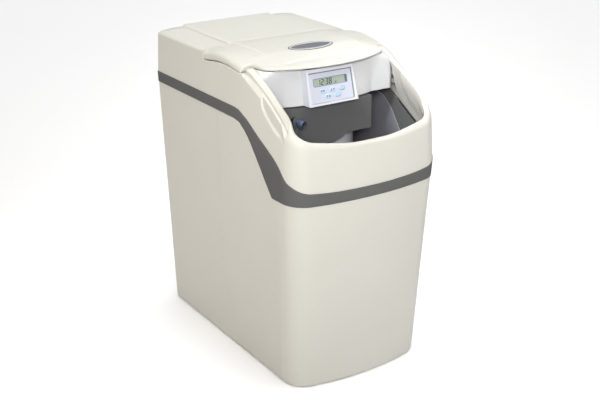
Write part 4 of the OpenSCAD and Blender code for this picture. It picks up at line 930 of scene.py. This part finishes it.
def lid_row(y, fall):
    """Row across the front of the lid at the depths y, rounded off at the wings."""
    y = np.broadcast_to(y, LID_XS.shape)
    wing = arc_fall(WING_HALF - np.abs(LID_XS), WING_R)
    return np.stack([LID_XS, y, lid_height(LID_XS, y) - fall - wing], axis=1)


def lid_rows():
    """Rows of the front of the lid, from the skirt at its crease to the skirt at its nose."""
    a = np.abs(LID_XS)
    edge = NOSE_EDGE(a)
    lean = 1 / np.sqrt(1 + edge_slope(a) ** 2)
    wing_only = ease((a - PANEL_HALF + 1) / 3)
    back = lid_row(WING_BACK, CREASE_R * wing_only)
    low = np.where(a > PANEL_HALF - 0.5, SKIRT_CREASE, back[:, 2] - 3)
    rows = drop_to(back, np.minimum(low, back[:, 2] - 0.5), (1,))
    for turn in LID_EDGE:
        fall = CREASE_R * (1 - np.sin(turn)) * wing_only
        rows.append(lid_row(WING_BACK - CREASE_R * (1 - np.cos(turn)), fall))
    rows += [lid_row(y, 0) for y in np.linspace(WING_BACK - 2.2, LINE_Y - 2.6, 12)]
    first = LINE_Y - 3.0
    last = edge + NOSE_R * NOSE_REACH / lean
    for s in np.concatenate([np.linspace(0, 0.62, 26), np.linspace(0.63, 1, 30)])[1:]:
        rows.append(lid_row(first + s * (last - first), 0))
    for turn in LID_EDGE[::-1]:
        rows.append(lid_row(edge + NOSE_R * (1 - np.cos(turn)) / lean, NOSE_R * (1 - np.sin(turn))))
    wing_low = SEAM_Z(edge) + WING_GAP + heel(a - WING_HALF + HEEL_R)
    bottom = np.where(a > NOTCH_X, wing_low, SKIRT_NOSE)
    return np.array(rows + drop_to(rows[-1], np.minimum(bottom, rows[-1][:, 2] - 0.6), (0.5, 1)))


def panel_row(y, fall):
    """Row across the rear panel, which falls softly at its sides."""
    a = np.abs(PANEL_XS)
    z = RIDGE_Z(y) + (CENTRE_Z(y) - RIDGE_Z(y)) * (1 - (a / PANEL_HALF) ** 2)
    side = PANEL_DROP * np.clip(1 - (PANEL_HALF - a) / PANEL_R, 0, 1) ** PANEL_POWER
    return np.stack([PANEL_XS, np.full_like(PANEL_XS, y), z - side - fall], axis=1)


def panel_rows():
    """Rows of the rear panel, from its skirt at the rear to the crease."""
    rows = [panel_row(PANEL_END - BACK_R * (1 - np.cos(turn)), BACK_R * (1 - np.sin(turn)))
            for turn in LID_EDGE]
    skirt = drop_to(rows[0], np.minimum(rows[0][:, 2] - 0.3, PANEL_LOW), (1,))
    rows += [panel_row(y, 0) for y in np.linspace(PANEL_END - BACK_R, WING_BACK, 24)[1:]]
    return np.array(skirt + rows)


def make_lid():
    shape = Shape()
    front = lid_rows()
    panel = panel_rows()
    shape.grid(front, flip=True)
    shape.grid(panel, flip=True)
    for end in (0, -1):
        rim = front[1:-2, end]
        foot = np.minimum(wing_foot(rim[:, 1]), rim[:, 2] - 0.3)
        shape.grid(drop_to(rim, foot, (0, 0.5, 1)), flip=(end == 0))
        shape.grid(drop_to(panel[1:, end], PANEL_FOOT, (0, 1)), flip=(end == 0))
    obj = shape.build("lid_moulding", [shell_white])
    solidify(obj, LID_T)
    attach(obj, "lid_body")
    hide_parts("lid")


# Badge: a bare oval plate with a bright rim
BADGE_L = 82.0
BADGE_W = 32.0
BADGE_Y = -46.0
N_BADGE = 96
# profiles of the badge: inset, lift over the lid
BADGE_SIDE = ((0, -1.2), (0, 0.25), (0.2, 0.6), (0.7, 0.8), (1.2, 0.8), (1.5, 0.55))
BADGE_RING = ((1.5, 0.55), (1.8, 0.75), (2.6, 0.95), (3.8, 0.95), (4.6, 0.75), (4.9, 0.5))
BADGE_FIELD = tuple((4.9 + 10.8 * s, 0.5 + 0.3 * s) for s in np.linspace(0, 1, 8))


def badge_ring(inset, lift):
    """Oval ring over the lid's skin."""
    turn = full_turn(N_BADGE)
    x = (BADGE_L / 2 - inset) * np.cos(turn)
    y = BADGE_Y + (BADGE_W / 2 - inset) * np.sin(turn)
    return np.stack([x, y, lid_height(x, y) + lift], axis=1)


def make_badge():
    shape = Shape()
    for slot, profile in enumerate((BADGE_SIDE, BADGE_RING, BADGE_FIELD)):
        shape.grid([badge_ring(*step) for step in profile], slot=slot, wrap=True)
    shape.cap(N_BADGE, 2)
    obj = shape.build("badge_plate", [badge_edge, badge_rim, badge_field], outward=True)
    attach(obj, "lid_body")
    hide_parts("lid_badge")


# Control face and fascia
CTRL_X = -4.0
CTRL_W = 88.0
CTRL_H = 55.0
CTRL_RIM = 4.0
CTRL_SINK = 1.8
CTRL_TILT = math.radians(15.3)
FASCIA_Y = -98.0
CTRL_OUT = 21.0
FACE_UP = np.array([0, math.sin(CTRL_TILT), math.cos(CTRL_TILT)])
FACE_OUT = np.array([0, -math.cos(CTRL_TILT), math.sin(CTRL_TILT)])
FACE_FOOT = np.array([CTRL_X, FASCIA_Y - CTRL_OUT, FASCIA_Z])


def on_face(points, out):
    """Points of the control face: across and up the face, and out of it."""
    points = np.asarray(points, float)
    return FACE_FOOT + points[:, :1] * np.array([1, 0, 0]) + points[:, 1:] * FACE_UP + out * FACE_OUT


FASCIA_TOP = 490.5
LEDGE_Z = 493.6
FASCIA_FLARE = 4.4
FASCIA_HALF = 82.0
FASCIA_END = 118.0
FASCIA_BACK = -95.5
FASCIA_BOW = 11.0
TOP_BOW = 0.12
FASCIA_T = 2.2
# rounded foot: way back from the face, rise
FASCIA_FOOT = ((4.0, 1.2), (2.0, 0.2), (0.9, 0), (0.3, 0.3), (0, 1.0))
FLARE_Z = 486.0
FLARE_H = 12.0
LEDGE_IN = 2.5
LEDGE_FIT = 0.6
LEDGE_BACK = np.array([0, 0.05, -5.5])
HOLE_X = (CTRL_X - CTRL_W / 2 - 1, CTRL_X + CTRL_W / 2 + 1)
HOLE_Z = (438.0, 484.0)
FASCIA_XS = np.unique(np.concatenate([
    np.linspace(-FASCIA_END, -FASCIA_HALF, 10), np.linspace(-FASCIA_HALF, HOLE_X[0], 10),
    np.linspace(*HOLE_X, 17), np.linspace(HOLE_X[1], FASCIA_HALF, 12),
    np.linspace(FASCIA_HALF, FASCIA_END, 10)]))


def fascia_y(x, z):
    """Depth of the fascia's face, which bows out towards its foot."""
    low = 1 - np.clip((z - FASCIA_Z) / (FASCIA_TOP - FASCIA_Z), 0, 1)
    bow = np.clip(1 - (np.abs(x) / FASCIA_HALF) ** 3, 0, 1)
    return FASCIA_BACK - FASCIA_BOW * bow * (TOP_BOW + (1 - TOP_BOW) * low)


def fascia_row(y, z):
    """Row across the fascia at the depths y and one height."""
    return np.stack([FASCIA_XS, y, np.full_like(FASCIA_XS, z)], axis=1)


def fascia_rows():
    """Rows of the fascia, from its rounded foot to the ledge under the lid, with flared ends."""
    rows = []
    for back, rise in FASCIA_FOOT:
        rows.append(fascia_row(fascia_y(FASCIA_XS, FASCIA_Z + rise) + back, FASCIA_Z + rise))
    rows += [fascia_row(fascia_y(FASCIA_XS, z), z) for z in np.linspace(*HOLE_Z, 14)]
    front = fascia_y(FASCIA_XS, HOLE_Z[1])
    top = np.maximum(fascia_y(FASCIA_XS, FASCIA_TOP) + LEDGE_IN, NOSE_EDGE(np.abs(FASCIA_XS)) - LEDGE_FIT)
    for a in quarter(7)[1:]:
        y = front + (top - front) * (1 - np.cos(a))
        rows.append(fascia_row(y, HOLE_Z[1] + (LEDGE_Z - HOLE_Z[1]) * np.sin(a)))
    rows.append(rows[-1] + LEDGE_BACK)
    rows = np.array(rows)
    flare = FASCIA_FLARE * ease((FLARE_Z - rows[:, :, 2]) / FLARE_H)
    beyond = np.clip((np.abs(rows[:, :, 0]) - FASCIA_HALF) / (FASCIA_END - FASCIA_HALF), 0, 1)
    rows[:, :, 0] += np.sign(rows[:, :, 0]) * flare * beyond
    return rows


def make_fascia():
    rows = fascia_rows()
    shape = Shape()
    for r in range(len(rows) - 1):
        for c in range(len(FASCIA_XS) - 1):
            mid = (rows[r, c] + rows[r + 1, c + 1]) / 2
            in_hole = HOLE_X[0] < mid[0] < HOLE_X[1] and HOLE_Z[0] < mid[2] < HOLE_Z[1]
            if not in_hole:
                shape.add([rows[r, c], rows[r, c + 1], rows[r + 1, c + 1], rows[r + 1, c]], [(0, 1, 2, 3)])
    obj = shape.build("fascia_skin", [fascia_white], sharp=14)
    solidify(obj, FASCIA_T)
    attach(obj, "cabinet")
    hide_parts("fascia")


# Control housing
CASE_UP = 1.8
CASE_FLARE = 1.5
CASE_ROOT = 4.0
CASE_BACK = FASCIA_Y + 2.0
FILM_BED = 1.6
CASE_EDGE = 1.1


def make_housing():
    w = CTRL_W / 2
    root = w + CASE_ROOT
    shape = Shape()
    wide, narrow = w + CASE_FLARE, w - CASE_FLARE
    high = CTRL_H + CASE_UP
    face = on_face([(-wide, 0), (wide, 0), (narrow, high), (-narrow, high)], 0)
    side, low, up = w - CTRL_RIM, CTRL_RIM, CTRL_H - CTRL_RIM
    lip = on_face([(-side, low), (side, low), (side, up), (-side, up)], 0)
    floor = lip - FACE_OUT * (CTRL_SINK + FILM_BED)
    top = FASCIA_Z + high * math.cos(CTRL_TILT) + 0.5
    left, right = CTRL_X - root, CTRL_X + root
    back = np.array([(left, CASE_BACK, FASCIA_Z), (right, CASE_BACK, FASCIA_Z), (right, CASE_BACK, top),
                     (left, CASE_BACK, top)])
    verts = np.concatenate([back, face, lip, floor])
    faces = []
    for k in range(4):
        j = (k + 1) % 4
        faces.append((k, j, 4 + j, 4 + k))
        faces.append((4 + k, 4 + j, 8 + j, 8 + k))
        faces.append((8 + k, 8 + j, 12 + j, 12 + k))
    shape.add(verts, faces)
    obj = shape.build("control_case", [case_white], sharp=40, outward=True)
    bevel(obj, CASE_EDGE, 4)
    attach(obj, "cabinet")
    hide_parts("control_housing")


def rounded_rect(w, h, r, n=8):
    """Corner-rounded outline, anticlockwise, around its middle."""
    points = []
    for cx, cy, a0 in ((w / 2 - r, h / 2 - r, 0), (r - w / 2, h / 2 - r, 90), (r - w / 2, r - h / 2, 180),
                       (w / 2 - r, r - h / 2, 270)):
        for a in np.radians(a0 + np.linspace(0, 90, n)):
            points.append((cx + r * math.cos(a), cy + r * math.sin(a)))
    return np.array(points)


def stadium(length, width):
    """Outline with round ends."""
    return rounded_rect(length, width, width / 2 - 0.01, 14)


def stack(shape, rings, slot=0):
    """Rings over the control face, each an outline and its lift, joined by faces."""
    shape.grid([on_face(points, lift) for points, lift in rings], slot=slot, wrap=True)


def plate(shape, outline_at, profile, slot=0, cap=None):
    """Stack of rings from insets and lifts, closed by a face on the last one."""
    stack(shape, [(outline_at(inset), lift) for inset, lift in profile], slot)
    shape.cap(len(outline_at(0)), slot if cap is None else cap)


# Control film and display
LCD_W = 61.6
LCD_H = 11.2
LCD_X = -1.3
LCD_UP = 35.6
LCD_RIM = 1.6
LCD_DEEP = 0.9
LCD_PROUD = 0.25
LCD_CORNER = 2.6
FILM_T = -CTRL_SINK
FILM_FIT = 0.5
FILM_R = 1.5
# The film is smaller than its bed and set left of and below its middle, so the dark grey frame shows only at
# its top and right, as painted shadow lines
FILM_SHRINK = np.array([2.2, 1.3])
FILM_SHIFT = np.array([-0.9, -0.45])


def make_overlay():
    bed = np.array([CTRL_W, CTRL_H]) - 2 * CTRL_RIM - FILM_FIT
    shape = Shape()
    mid = np.array([0, CTRL_H / 2])

    def around(inset):
        return rounded_rect(*(bed - 2 * inset), FILM_R) + mid

    def film(inset):
        return rounded_rect(*(bed - FILM_SHRINK - 2 * inset), FILM_R) + mid + FILM_SHIFT

    # Dark grey frame below the film's edge: painted shadow lines
    stack(shape, ((around(0), FILM_T - 1.4), (around(0), FILM_T - 0.1), (around(3.0), FILM_T - 0.1)), slot=1)
    hole = lcd_ring(0, LCD_RIM)
    stack(shape, ((film(0), FILM_T - 0.5), (film(0), FILM_T - 0.2), (film(0.2), FILM_T), (hole, FILM_T),
                  (hole, FILM_T - LCD_DEEP)))
    obj = shape.build("control_film", [overlay_film, painted_shadow_frame], sharp=25, outward=True)
    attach(obj, "cabinet")
    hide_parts("control_overlay")


def lcd_ring(inset, grow):
    """Outline of the display, grown by a rim and moved in."""
    shrink = 2 * inset - grow
    ring = rounded_rect(LCD_W - shrink, LCD_H - shrink, max(LCD_CORNER - inset, 0.5))
    return ring + np.array([LCD_X, LCD_UP])


# bars of the digits that are shown
SEGMENTS = {"1": "bc", "2": "abged", "3": "abgcd", "8": "abcdefg"}
DIGIT_H = 9.2
DIGIT_W = 5.2
DIGITS = "1238"
DIGITS_AT = LCD_X - 23.4
DIGIT_PITCH = 6.6
DIGIT_LEAN = 0.08
SEG_T = 1.55
SEG_GAP = 0.22
COLON_GAP = 1.4
COLON_DOT = 1.1
COLON_UP = (0.3, 0.68)
COLON_LEAN = 0.7
TICKS_AT = DIGITS_AT + 31.5
TICK_PITCH = 1.5
TICK_W = 0.8
TICK_H = 1.6
TICK_GROW = 0.9
INK_T = 0.06
# Size and inset of the dark strip of painted shade at the display's right end
SHADE_W = 3.4
SHADE_IN = 1.9


def segment_outline(code):
    """Bar of a display digit as corner points, from its lower left corner."""
    w, h, t = DIGIT_W, DIGIT_H, SEG_T
    half = h / 2
    g = SEG_GAP
    bars = {
        "a": [(g, h), (w - g, h), (w - t - g, h - t), (t + g, h - t)],
        "d": [(t + g, t), (w - t - g, t), (w - g, 0), (g, 0)],
        "g": [(g + 0.3, half), (t + g, half + t / 2), (w - t - g, half + t / 2), (w - g - 0.3, half),
              (w - t - g, half - t / 2), (t + g, half - t / 2)],
        "f": [(0, h - g), (t, h - t - g), (t, half + t / 2 + g), (0, half + g)],
        "e": [(0, half - g), (t, half - t / 2 - g), (t, t + g), (0, g)],
        "b": [(w - t, h - t - g), (w, h - g), (w, half + g), (w - t, half + t / 2 + g)],
        "c": [(w - t, half - t / 2 - g), (w, half - g), (w, g), (w - t, t + g)],
    }
    return np.array(bars[code])


def ink(shape, points, lift, thick, slot):
    """Raised flat shape on the control face."""
    n = len(points)
    low = on_face(points, lift)
    high = on_face(points, lift + thick)
    faces = [tuple(range(n, 2 * n))]
    faces += [(k, (k + 1) % n, n + (k + 1) % n, n + k) for k in range(n)]
    shape.add(np.concatenate([low, high]), faces, slot)


def make_lcd():
    shape = Shape()
    lift = FILM_T - LCD_DEEP
    rim = FILM_T + LCD_PROUD
    plate(shape, lambda inset: lcd_ring(inset, LCD_RIM),
          ((0, lift - 0.1), (0, FILM_T + 0.1), (0.2, rim), (0.7, rim), (0.8, FILM_T), (0.8, lift)),
          slot=1, cap=0)
    # Dark strip at the right end of the display: painted shade from its frame
    shade_at = np.array([LCD_X + LCD_W / 2 - SHADE_IN, LCD_UP])
    ink(shape, rounded_rect(SHADE_W, LCD_H - 0.6, 0.6, 4) + shade_at, lift, 0.04, 3)
    base = LCD_UP - DIGIT_H / 2
    for k, digit in enumerate(DIGITS):
        left = DIGITS_AT + k * DIGIT_PITCH + (COLON_GAP if k > 1 else 0)
        for code in SEGMENTS[digit]:
            bar = segment_outline(code)
            bar[:, 0] += DIGIT_LEAN * bar[:, 1]
            ink(shape, bar + np.array([left, base]), lift, INK_T, 2)
    for up in COLON_UP:
        dot_at = np.array([DIGITS_AT + 2 * DIGIT_PITCH + up * COLON_LEAN, base + up * DIGIT_H])
        ink(shape, rounded_rect(COLON_DOT, COLON_DOT, 0.3, 4) + dot_at, lift, INK_T, 2)
    for k in range(3):
        tick_at = np.array([TICKS_AT + TICK_PITCH * k, base + 1 + TICK_GROW / 2 * k])
        ink(shape, rounded_rect(TICK_W, TICK_H + TICK_GROW * k, 0.2, 3) + tick_at, lift, INK_T, 2)
    obj = shape.build("display", [lcd_face, lcd_edge, lcd_ink, lcd_painted_shade], sharp=25, outward=True)
    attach(obj, "cabinet")
    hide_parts("lcd_window")


# Keys
BTN_L = 11.0
BTN_W = 7.0
BTN_PITCH = 18.0
BTN_UP = 22.0
BTN_ROWS = 9.0
KEYS = ((-BTN_PITCH, BTN_UP), (0, BTN_UP), (BTN_PITCH, BTN_UP), (-BTN_PITCH / 2, BTN_UP - BTN_ROWS),
        (BTN_PITCH / 2, BTN_UP - BTN_ROWS))
# quarter turns of the two arrows on a key, or none for a bar
KEY_MARKS = ((2, 0), (1, 3), None, (3, 1), None)
# tiers of a key: inset, lift over the film
KEY_TOP = 0.95
KEY_SIDE = ((0, -1.8), (0, 0.3), (0.15, 0.6), (0.45, 0.8))
KEY_RIM = ((0.45, 0.8), (0.8, KEY_TOP), (1.7, KEY_TOP))
KEY_FACE = ((1.7, KEY_TOP), (2.0, KEY_TOP + 0.02))
KEY_BAR = (4.2, 1.0)
ARROW = 1.45 * np.array([(1.7, 0), (-1.1, 1.5), (-1.1, -1.5)])
ARROW_X = 2.3


def arrow(turn):
    """Small arrow head, turned by a number of quarter turns."""
    a = turn * math.pi / 2
    return ARROW @ np.array([[math.cos(a), math.sin(a)], [-math.sin(a), math.cos(a)]])


def make_key(k):
    middle = np.array(KEYS[k])
    shape = Shape()

    def tier(profile, slot):
        plate(shape, lambda inset: stadium(BTN_L - 2 * inset, BTN_W - 2 * inset) + middle,
              [(inset, FILM_T + lift) for inset, lift in profile], slot)

    plain = KEY_MARKS[k] is None
    tier(KEY_SIDE, 1)
    tier(KEY_RIM, 2 if plain else 1)
    tier(KEY_FACE, 1)
    mark_z = FILM_T + KEY_FACE[-1][1]
    if plain:
        ink(shape, rounded_rect(*KEY_BAR, 0.4, 4) + middle, mark_z, INK_T, 2)
    else:
        for turn, side in zip(KEY_MARKS[k], (-ARROW_X, ARROW_X)):
            ink(shape, arrow(turn) + middle + np.array([side, 0]), mark_z, INK_T, 0)
    obj = shape.build("key_%d" % (k + 1), [key_blue, key_pale, key_ring], sharp=35, outward=True)
    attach(obj, "button_body_%d" % (k + 1))
    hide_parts("button_%d" % (k + 1))


# Fittings through the rear wall, turned about their axes
PORT_X = 104.0
PORT_Z = 452.0
PORT_BORE = 8.0
PORT_R = 13.2
PORT_FLANGE = 18.0
PORT_END = 244.55
PORT_TAIL = 14.0
PORT_THREAD = 0.8
PORT_PITCH = 2.2
OVER_X = 60.0
OVER_Z = 340.0
OVER_BORE = 5.5
OVER_R = 8.0
OVER_FLANGE = 16.0
OVER_END = 250.55
OVER_TAIL = 6.0
OVER_BARB = 1.1
BARB_L = 6.3
THREAD_STEP = 1.5
CHAMFER = 0.4
TAIL_CHAMFER = 0.5
N_TURN = 56
NUT_OUT = REAR_Y + 6.0
FLANGE_Y = (REAR_Y - WALL - 6.0, REAR_Y - WALL)


def inner_profile(tail, bore, r, flange):
    """Depth and radius from the inner end of a fitting to the face of its nut."""
    a, b = FLANGE_Y
    end = a - tail
    crest = r + THREAD_STEP
    c = CHAMFER
    return [(end, bore), (end, r - TAIL_CHAMFER), (end + TAIL_CHAMFER, r), (a, r), (a, flange - c),
            (a + c, flange), (b - c, flange), (b, flange - c), (b, crest), (NUT_OUT, crest),
            (NUT_OUT + c, crest - c)]


def threads(start, stop, root, crest, pitch):
    """Profile of the ridges of a thread."""
    points = []
    for y in np.arange(start, stop, pitch):
        points += [(y, root), (y + 0.2 * pitch, root), (y + 0.45 * pitch, crest), (y + 0.7 * pitch, crest),
                   (y + 0.95 * pitch, root)]
    return points


def barbs(start, count, root, crest, length):
    """Profile of hose barbs that fall towards the end."""
    points = []
    for k in range(count):
        y = start + k * length
        points += [(y, root), (y + 0.3, crest), (y + 0.8, crest), (y + length - 0.1, root)]
    return points


def rings_about(x, z, profile, n):
    """Rings about an axis along the depth, from depths and radii."""
    turn = full_turn(n)
    return [np.stack([x + r * np.cos(turn), np.full_like(turn, y), z + r * np.sin(turn)], axis=1)
            for y, r in profile]


def turned(name, node, x, z, profile):
    """Fitting turned about its axis, from its closed profile."""
    shape = Shape()
    shape.grid(rings_about(x, z, profile + profile[:1], N_TURN), wrap=True)
    obj = shape.build(name, [blue_grey], sharp=40, outward=True)
    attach(obj, "cabinet")
    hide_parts(node)


def make_ports():
    root = PORT_R - PORT_THREAD
    end, bore = PORT_END, PORT_BORE
    profile = inner_profile(PORT_TAIL, bore, PORT_R, PORT_FLANGE) + [(NUT_OUT + CHAMFER, root)]
    profile += threads(NUT_OUT + 1.0, end - 2.6, root, PORT_R, PORT_PITCH)
    profile += [(end - 0.8, root), (end, root - 0.7), (end, bore + 0.6), (end - 0.6, bore)]
    turned("inlet_fitting", "inlet_port", -PORT_X, PORT_Z, profile)
    turned("outlet_fitting", "outlet_port", PORT_X, PORT_Z, profile)


def make_overflow():
    root = OVER_R - OVER_BARB
    end, bore = OVER_END, OVER_BORE
    profile = inner_profile(OVER_TAIL, bore, OVER_R, OVER_FLANGE) + [(NUT_OUT + CHAMFER, root)]
    profile += barbs(NUT_OUT + 4.4, 3, root, OVER_R, BARB_L)
    profile += [(end - 0.4, root - 0.2), (end, root - 0.6), (end, bore + 0.3), (end - 0.3, bore)]
    turned("overflow_fitting", "overflow_port", OVER_X, OVER_Z, profile)


# Drain stub of the valve, turned towards the middle of the bay
DRAIN_X = -62.0
DRAIN_Z = 412.5
DRAIN_FLANGE = 10.4
COVER_FACE = -106.0
STUB_FROM = np.array([-62.5, -105.0, 411.0])
STUB_AXIS = np.array([0.28, -0.94, -0.2]) / np.linalg.norm([0.28, -0.94, -0.2])
STUB_PROFILE = ((0, 6.1), (5.0, 6.1), (5.4, 6.8), (11.4, 6.8), (12.0, 6.3), (12.0, 4.9))
STUB_BORE = ((12.0, 4.9), (11.6, 4.5), (1.5, 4.5))
N_STUB = 40


def stub_rings(profile):
    """Rings of the drain stub from distances along its axis and radii."""
    across = np.cross(STUB_AXIS, [0, 0, 1])
    across /= np.linalg.norm(across)
    up = np.cross(across, STUB_AXIS)
    turn = full_turn(N_STUB)[:, None]
    return [STUB_FROM + s * STUB_AXIS + r * (np.cos(turn) * across + np.sin(turn) * up) for s, r in profile]


def make_drain():
    shape = Shape()
    shape.grid(stub_rings(STUB_PROFILE), wrap=True)
    # The bore and its closed floor are black: painted shade inside the hole
    shape.grid(stub_rings(STUB_BORE), slot=1, wrap=True)
    shape.cap(N_STUB, 1)
    face, r = COVER_FACE, DRAIN_FLANGE
    flange = ((face + 0.6, r), (face - 0.1, r), (face - 0.4, r - 0.3), (face - 0.4, 3.0))
    shape.grid(rings_about(DRAIN_X, DRAIN_Z, flange, N_STUB), slot=2, wrap=True)
    obj = shape.build("drain_stub", [blue_grey, black_rubber_and_bore_shade, dark_grey], sharp=40, outward=True)
    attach(obj, "cabinet")
    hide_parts("drain_fitting")


# Materials of the solids that stay, by their slots in the record
SOLID_EDGE = 0.6
SLOT_LOOK = {
    "shell_white": shell_white, "steel": steel, "lcd_dark": lcd_ink, "board_green": board_green,
    "switch_black": black_rubber_and_bore_shade, "dark_grey": dark_grey, "light_grey": light_grey, "ceramic": ceramic,
    "gear_white": gear_white, "blue_grey": blue_grey, "turbine_red": turbine_red,
    "vessel_white": vessel_white, "foot_black": black_rubber_and_bore_shade, "resin_amber": resin_amber,
    "float_yellow": float_yellow, "band_grey": band_grey,
    "badge_silver": badge_rim, "overlay": overlay_film, "lcd_glass": lcd_face, "button_blue": key_blue,
}


def dress_solids():
    slots = {row["node"]: row["material_slot"] for row in frame["record"]["subparts"]}
    for name, obj in frame["nodes"].items():
        look = SLOT_LOOK[slots[name]]
        obj.data.materials.clear()
        obj.data.materials.append(look)
    for name in ("valve_cover", "valve_body", "valve_head", "well_cap", "port_nuts", "overflow_nut",
                 "power_inlet", "hinge_brackets", "lid_knuckles"):
        bevel(frame["nodes"][name], SOLID_EDGE, 2, 35)


# Stage, light and camera
STAGE_HALF = 14.0


def make_stage():
    xs = np.linspace(-STAGE_HALF, STAGE_HALF, 24) / MM
    rows = [np.stack([xs, np.full_like(xs, y), np.zeros_like(xs)], axis=1) for y in xs]
    shape = Shape()
    shape.grid(rows)
    mat, tree, shader = new_material("floor_paper", (0.95, 0.95, 0.95), 0.8)
    tone = ramp(tree, noise(tree, 3.0, 2.0), [(0.2, (0.945,) * 3), (0.8, (0.955,) * 3)])
    tree.links.new(tone, shader.inputs["Base Color"])
    floor = shape.build("floor", [mat])


def area_light(name, place, target, width, power, beam, color):
    data = bpy.data.lights.new(name, "AREA")
    data.shape = "RECTANGLE"
    data.size = width
    data.size_y = width
    data.energy = power
    data.color = color
    data.spread = math.radians(beam)
    obj = bpy.data.objects.new(name, data)
    obj.visible_camera = False
    obj.location = place
    obj.rotation_euler = (Vector(target) - Vector(place)).to_track_quat("-Z", "Y").to_euler()
    bpy.context.scene.collection.objects.link(obj)


# Name, place, target, width, power, beam angle and colour of the lamps, in metres, watts and degrees
LAMPS = (
    ("key", (-1.36, -2.05, 1.47), (0.03, -0.1, 0.49), 0.8, 2.8, 26, (1, 1, 1)),
    ("side_fill", (-1.9, 0.5, 0.9), (-0.14, 0, 0.4), 1.2, 1.3, 120, (1, 0.5, 0.05)),
    ("top", (0.05, 0.2, 1.5), (0, 0.08, 0.5), 0.5, 0.8, 60, (0.88, 0.94, 1)),
    ("bay_fill", (-0.28, -0.3, 0.95), (0.135, -0.15, 0.44), 0.12, 0.12, 24, (0.9, 0.93, 1)))
SUN_POWER = 2.2
SUN_ANGLE = math.radians(60)
SUN_WAY = (-0.12, 0.3, -1.4)
SKY_POWER = 0.3


def make_light():
    sun = bpy.data.lights.new("sky_sun", "SUN")
    sun.energy = SUN_POWER
    sun.angle = SUN_ANGLE
    lamp = bpy.data.objects.new("sky_sun", sun)
    lamp.rotation_euler = Vector(SUN_WAY).to_track_quat("-Z", "Y").to_euler()
    bpy.context.scene.collection.objects.link(lamp)
    for values in LAMPS:
        area_light(*values)
    world = bpy.data.worlds.new("studio")
    world.use_nodes = True
    world.node_tree.nodes["Background"].inputs["Color"].default_value = (1, 1, 1, 1)
    world.node_tree.nodes["Background"].inputs["Strength"].default_value = SKY_POWER
    bpy.context.scene.world = world
    bpy.context.scene.view_settings.view_transform = "Standard"


CAMERA_AT = (-0.92908, -1.43774, 0.90834)
CAMERA_AZIMUTH = math.radians(-33.12)
CAMERA_DOWN = math.radians(21.44)
CAMERA_ROLL = math.radians(-0.256)
FOCAL_PX = 1089.45
FRAME_PX = 600.0
SENSOR = 36.0


def make_camera():
    data = bpy.data.cameras.new("photo_view")
    data.sensor_width = SENSOR
    data.sensor_fit = "HORIZONTAL"
    data.lens = FOCAL_PX / FRAME_PX * SENSOR
    obj = bpy.data.objects.new("photo_view", data)
    turn = Matrix.Rotation(CAMERA_AZIMUTH, 4, "Z") @ Matrix.Rotation(math.pi / 2 - CAMERA_DOWN, 4, "X")
    obj.matrix_world = Matrix.Translation(CAMERA_AT) @ turn @ Matrix.Rotation(CAMERA_ROLL, 4, "Z")
    bpy.context.scene.collection.objects.link(obj)
    bpy.context.scene.camera = obj


dress_solids()
make_cabinet()
make_band()
make_top_cover()
make_lid()
make_badge()
make_fascia()
make_housing()
make_overlay()
make_lcd()
for key in range(len(KEYS)):
    make_key(key)
make_ports()
make_overflow()
make_drain()
make_stage()
make_light()
make_camera()
